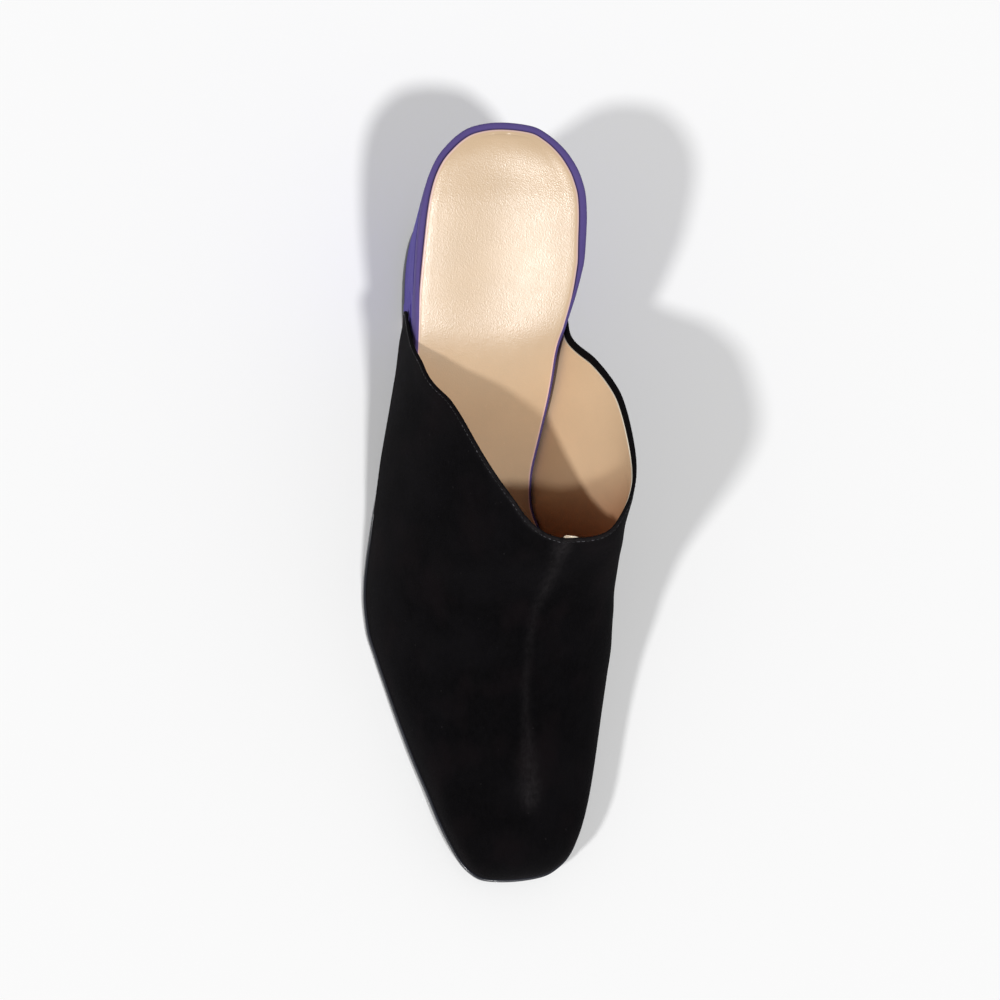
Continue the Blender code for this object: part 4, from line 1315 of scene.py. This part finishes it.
def pale_leather(name, colours, colour, raw_edge, grain, gloss, shine):
    """Smooth leather with fine pores, a paler cut edge and painted shade deep inside the shoe. grain is its
    relief's depth.
    """
    finish = Finish(name, **{"Specular IOR Level": shine})
    pores = finish.cells(0.42 * MM)
    wrinkle = finish.noise(0.7 * MM, 4.0, 0.65)
    cloud = finish.noise(22 * MM, 3.0, 0.55)
    tone = finish.mix(finish.ramp(cloud, (0.35, 0.0), (0.7, 1.0)), shade(colour, 0.965), shade(colour, 1.03))
    tone = finish.mix(finish.ramp(wrinkle, (0.3, 0.0), (0.75, 1.0)) * 0.35, tone, shade(colour, 0.93))
    # Painted shade: the deep mark darkens the leather towards the toe.
    tone = finish.mix(finish.mark("deep"), tone, colours.deep)
    tone = finish.mix(finish.mark("edge") * 0.85, tone, raw_edge)
    rough = gloss + 0.16 * finish.noise(3.0 * MM, 3.0, 0.6)
    relief_fine = finish.bump(pores, grain, 0.7)
    relief_all = finish.bump(wrinkle, grain * 0.8, 0.4, relief_fine)
    return finish.feed(Base_Color=tone, Roughness=rough, Normal=relief_all)


def polished_edge(colours):
    """Dark polished leather, streaked along the edge."""
    finish = Finish("polished_edge", **{"Specular IOR Level": 0.5, "Coat Roughness": 0.12})
    streak = finish.noise(1.6 * MM, 3.0, 0.6, (0.25, 0.25, 1.0))
    cloud = finish.noise(14 * MM, 2.0, 0.5)
    patch = finish.ramp(cloud, (0.4, 0.0), (0.7, 1.0))
    tone = finish.mix(patch, colours.sole_edge, shade(colours.sole_edge, 1.9))
    rough = 0.20 + 0.20 * streak
    return finish.feed(Base_Color=tone, Roughness=rough, Coat_Weight=0.35 + 0.2 * cloud,
                       Normal=finish.bump(streak, 0.06 * MM, 0.5))


def rubber(name, colour, polish):
    finish = Finish(name, **{"Specular IOR Level": 0.45})
    grain = finish.noise(0.35 * MM, 3.0, 0.6)
    cloud = finish.noise(6 * MM, 3.0, 0.6)
    tone = finish.mix(finish.ramp(cloud, (0.35, 0.0), (0.7, 1.0)), shade(colour, 0.8), shade(colour, 1.25))
    relief_fine = finish.bump(grain, 0.05 * MM, 0.6)
    return finish.feed(Base_Color=tone, Roughness=polish + 0.2 * cloud, Normal=relief_fine)


def waxed_thread(colours):
    """Dark thread with painted glints here and there."""
    finish = Finish("waxed_thread", **{"Specular IOR Level": 0.15})
    twist = finish.noise(0.28 * MM, 2.0, 0.5)
    glint = finish.ramp(finish.noise(1.1 * MM, 2.0, 0.6), (0.52, 0.0), (0.68, 1.0))
    tone = finish.mix(twist, shade(colours.thread, 0.7), shade(colours.thread, 1.5))
    # Painted highlight: glinting patches of the thread made fourteen times lighter.
    tone = finish.mix(glint, tone, shade(colours.thread, 14))
    strands = finish.bump(twist, 0.05 * MM, 0.8)
    return finish.feed(Base_Color=tone, Roughness=0.30 + 0.15 * twist, Normal=strands)


def pale_floor(colours):
    finish = Finish("pale_floor", **{"Specular IOR Level": 0.1})
    cloud = finish.noise(0.35, 2.0, 0.5)
    tone = finish.mix(cloud, shade(colours.floor, 0.992), colours.floor)
    return finish.feed(Base_Color=tone, Roughness=0.85 + 0.05 * cloud)


def length_prop(name, description, default):
    return bpy.props.FloatProperty(
        name=name, description=description, default=default, min=0.0, soft_max=default * 3, precision=5,
        subtype="DISTANCE", unit="LENGTH",
    )


def colour_prop(name, description, default):
    return bpy.props.FloatVectorProperty(
        name=name, description=description, default=default, min=0.0, max=1.0, size=3, subtype="COLOR",
    )


class MuleSizes(bpy.types.PropertyGroup):
    edge_round: length_prop("Edge roll", "Height of the collar's rolled edge", 0.00045)
    fold_depth: length_prop("Turned edge", "Width of the suede turned in over the collar", 0.0026)
    lining_peek: length_prop("Lining at the throat", "How far the lining stands above the edge", 0.0009)
    fold_inside: length_prop("Turned edge set-back", "How far the turned suede lies behind the lining", 0.00035)
    fold_bulge: length_prop("Turned edge bulge", "How far the doubled suede stands out", 0.00010)
    lining_thickness: length_prop("Lining", "Thickness of the lining leather", 0.00055)
    crest_ridge: length_prop("Crest", "Height of the soft ridge down the vamp", 0.00035)
    seam_inset: length_prop("Collar seam", "Distance of the stitches from the collar's edge", 0.0011)
    seam_furrow: length_prop("Seam furrow", "How deep the stitches draw in the suede", 0.00014)
    stitch_pitch: length_prop("Stitch pitch", "Distance from one stitch to the next", 0.0016)
    stitch_length: length_prop("Stitch length", "Length of one stitch that shows", 0.0013)
    thread_width: length_prop("Thread", "Thickness of the thread", 0.00030)
    sock_crown: length_prop("Sock crown", "How far the middle of the sock stands above its edge", 0.0003)
    sock_cup: length_prop("Sock cup", "How far the sock is hollowed at the seat", 0.0008)
    breast_seam: length_prop("Breast seam", "Distance of the breast cover's edge behind the breast", 0.0045)
    cover_thickness: length_prop("Breast cover", "Thickness of the breast cover", 0.0003)
    front_strip: length_prop("Top piece front", "Length of the top piece's lighter front strip", 0.0050)


class MuleColours(bpy.types.PropertyGroup):
    suede: colour_prop("Suede", "Black suede of the upper", (0.0021, 0.0019, 0.0022))
    suede_warm: colour_prop("Suede, warm", "Brownish patches in the black suede", (0.0072, 0.0046, 0.0052))
    # Rubbed nap, lint, and the painted highlight along the collar's edge.
    suede_worn_and_edge_lit: colour_prop("Suede, rubbed", "Rubbed nap of crest and collar", (0.0185, 0.0165, 0.0175))
    violet: colour_prop("Violet suede", "Suede of the heel and the insole's cover", (0.060, 0.042, 0.275))
    violet_light: colour_prop("Violet, light", "Brushed places in the violet suede", (0.115, 0.086, 0.350))
    violet_dark: colour_prop("Violet, dark", "Shaded nap in the violet suede", (0.040, 0.028, 0.215))
    violet_rim: colour_prop("Violet, rim", "Duller suede of the insole's rim", (0.100, 0.072, 0.165))
    sock: colour_prop("Sock", "Leather underfoot", (0.640, 0.465, 0.300))
    sock_edge: colour_prop("Sock, edge", "Cut edge of the sock", (0.86, 0.60, 0.57))
    lining: colour_prop("Lining", "Leather inside the upper", (0.85, 0.61, 0.385))
    lining_edge: colour_prop("Lining, edge", "Cut edge of the lining", (0.92, 0.84, 0.70))
    # Painted shade: the colour the leather is darkened to deep inside the upper.
    deep: colour_prop("Leather, deep inside", "The lining and the sock towards the toe", (0.48, 0.21, 0.10))
    thread: colour_prop("Thread", "Thread round the collar", (0.0065, 0.0062, 0.0070))
    sole_edge: colour_prop("Sole", "Polished leather sole", (0.0055, 0.0065, 0.012))
    rubber: colour_prop("Top piece", "Rubber under the heel", (0.022, 0.026, 0.034))
    strip: colour_prop("Top piece, front", "Lighter strip at the top piece's front", (0.28, 0.25, 0.275))
    floor: colour_prop("Floor", "Floor of the stage", (0.93, 0.93, 0.93))


class MULE_OT_upper(bpy.types.Operator):
    """Builds the black suede upper with its turned edge"""

    bl_idname = "mule.upper"
    bl_label = "Upper"

    def execute(self, context):
        make_upper(context.scene.mule_sizes, black_suede(context.scene.mule_colours))
        return {"FINISHED"}


class MULE_OT_lining(bpy.types.Operator):
    """Builds the leather lining inside the upper"""

    bl_idname = "mule.lining"
    bl_label = "Lining"

    def execute(self, context):
        colours = context.scene.mule_colours
        tones = (colours.lining, colours.lining_edge)
        leather = pale_leather("lining_leather", colours, *tones, grain=0.03 * MM, gloss=0.42, shine=0.45)
        make_lining(context.scene.mule_sizes, leather)
        return {"FINISHED"}


class MULE_OT_stitches(bpy.types.Operator):
    """Builds the row of stitches round the collar"""

    bl_idname = "mule.stitches"
    bl_label = "Collar stitches"

    def execute(self, context):
        make_stitches(context.scene.mule_sizes, waxed_thread(context.scene.mule_colours))
        return {"FINISHED"}


class MULE_OT_sole(bpy.types.Operator):
    """Builds the polished outsole"""

    bl_idname = "mule.sole"
    bl_label = "Outsole"

    def execute(self, context):
        make_outsole(polished_edge(context.scene.mule_colours))
        return {"FINISHED"}


class MULE_OT_insole(bpy.types.Operator):
    """Builds the suede-covered insole and the leather sock on it"""

    bl_idname = "mule.insole"
    bl_label = "Insole and sock"

    def execute(self, context):
        outline, forward = insole_outline()
        colours = context.scene.mule_colours
        make_insole(outline, forward, violet_suede("insole_suede", colours, 0.6))
        tones = (colours.sock, colours.sock_edge)
        leather = pale_leather("sock_leather", colours, *tones, grain=0.034 * MM, gloss=0.16, shine=0.40)
        make_sock(context.scene.mule_sizes, outline, forward, leather)
        return {"FINISHED"}


class MULE_OT_heel(bpy.types.Operator):
    """Builds the suede-covered block heel and its breast cover"""

    bl_idname = "mule.heel"
    bl_label = "Heel"

    def execute(self, context):
        suede = violet_suede("heel_suede", context.scene.mule_colours)
        make_heel(suede)
        make_breast_cover(context.scene.mule_sizes, suede)
        return {"FINISHED"}


class MULE_OT_top_piece(bpy.types.Operator):
    """Builds the rubber top piece with its lighter front strip"""

    bl_idname = "mule.top_piece"
    bl_label = "Top piece"

    def execute(self, context):
        colours = context.scene.mule_colours
        split = BACK_LEAN + BREAST - context.scene.mule_sizes.front_strip
        top_piece_part("top_piece_back", -1.0, split, rubber("heel_rubber", colours.rubber, 0.25))
        top_piece_part("top_piece_front", split, 1.0, rubber("strip_rubber", colours.strip, 0.40))
        return {"FINISHED"}


class MULE_OT_stage(bpy.types.Operator):
    """Sets up the floor, the light and the camera"""

    bl_idname = "mule.stage"
    bl_label = "Stage"

    def execute(self, context):
        make_floor(pale_floor(context.scene.mule_colours))
        make_light(context.scene)
        make_camera(context.scene)
        return {"FINISHED"}


FLOOR_HALF = 3.0
FILL = 0.27  # brightness of the white surroundings
Lamp = namedtuple("Lamp", "name toward spread power")
# Two even lamps far off: over the shoe, and low on its outer side. spread is how wide each looks, in degrees
LAMPS = (
    Lamp("key", (0.42, 0.08, 0.905), 5.0, 1.50),
    Lamp("side", (0.28, -0.60, 0.745), 4.5, 1.42),
)

# The camera stands over the shoe, leant towards its outer side and its toe, and is turned a little
VIEW_LEAN = 12.0
VIEW_PITCH = 8.71
VIEW_TURN = 3.86
VIEW_DISTANCE = 1.0
VIEW_AIM = (-0.00345, 0.0006, 0.0400)
VIEW_SCALE = 3011.0  # focal length in pixels of a picture that is PICTURE across
PICTURE = 1000.0
SENSOR = 36.0


def make_floor(material):
    mesh = bpy.data.meshes.new("floor")
    corners = [(-1, -1), (1, -1), (1, 1), (-1, 1)]
    mesh.from_pydata([(x * FLOOR_HALF, y * FLOOR_HALF, 0.0) for x, y in corners], [], [(0, 1, 2, 3)])
    mesh.materials.append(material)
    floor = bpy.data.objects.new("floor", mesh)
    bpy.context.scene.collection.objects.link(floor)


def make_light(scene):
    world = bpy.data.worlds.new("studio")
    world.use_nodes = True
    background = world.node_tree.nodes["Background"]
    background.inputs["Color"].default_value = (1.0, 1.0, 1.0, 1.0)
    background.inputs["Strength"].default_value = FILL
    scene.world = world
    for each in LAMPS:
        light = bpy.data.lights.new(each.name, "SUN")
        light.angle = math.radians(each.spread)
        light.energy = each.power
        lamp = bpy.data.objects.new(each.name, light)
        toward = Vector(each.toward).normalized()
        lamp.location = Vector(VIEW_AIM) + toward
        lamp.rotation_euler = toward.to_track_quat("Z", "Y").to_euler()
        scene.collection.objects.link(lamp)
    scene.view_settings.view_transform = "Standard"


def make_camera(scene):
    lean = math.radians(VIEW_LEAN)
    pitch = math.radians(VIEW_PITCH)
    turn = math.radians(VIEW_TURN)
    over = Vector((0.0, math.cos(lean), math.sin(lean)))
    along = Vector((math.cos(pitch), math.sin(lean) * math.sin(pitch), -math.cos(lean) * math.sin(pitch)))
    back = Vector((math.sin(pitch), -math.sin(lean) * math.cos(pitch), math.cos(lean) * math.cos(pitch)))
    right = over * math.cos(turn) + along * math.sin(turn)
    down = along * math.cos(turn) - over * math.sin(turn)
    data = bpy.data.cameras.new("camera")
    data.sensor_width = SENSOR
    data.lens = VIEW_SCALE / PICTURE * SENSOR
    data.clip_start = 0.05
    data.clip_end = 20.0
    camera = bpy.data.objects.new("camera", data)
    scene.collection.objects.link(camera)
    turned = Matrix((right, -down, back)).transposed()
    camera.matrix_world = Matrix.Translation(Vector(VIEW_AIM) + back * VIEW_DISTANCE) @ turned.to_4x4()
    scene.camera = camera


PIECES = (
    MULE_OT_upper,
    MULE_OT_lining,
    MULE_OT_stitches,
    MULE_OT_sole,
    MULE_OT_insole,
    MULE_OT_heel,
    MULE_OT_top_piece,
    MULE_OT_stage,
)


class MULE_PT_shoe(bpy.types.Panel):
    """Sizes, colours and pieces of the mule"""

    bl_idname = "MULE_PT_shoe"
    bl_label = "Mule shoe"
    bl_space_type = "VIEW_3D"
    bl_region_type = "UI"
    bl_category = "Mule"

    def draw(self, context):
        layout = self.layout
        for group in (context.scene.mule_sizes, context.scene.mule_colours):
            box = layout.box()
            for name in group.__annotations__:
                box.prop(group, name)
        for piece in PIECES:
            layout.operator(piece.bl_idname)


CLASSES = (MuleSizes, MuleColours, *PIECES, MULE_PT_shoe)


def register():
    for each in CLASSES:
        bpy.utils.register_class(each)
    bpy.types.Scene.mule_sizes = bpy.props.PointerProperty(type=MuleSizes)
    bpy.types.Scene.mule_colours = bpy.props.PointerProperty(type=MuleColours)


def unregister():
    del bpy.types.Scene.mule_colours
    del bpy.types.Scene.mule_sizes
    for each in reversed(CLASSES):
        bpy.utils.unregister_class(each)


def main():
    register()
    for piece in PIECES:
        group, name = piece.bl_idname.split(".")
        getattr(getattr(bpy.ops, group), name)()


if __name__ == "__main__":
    main()
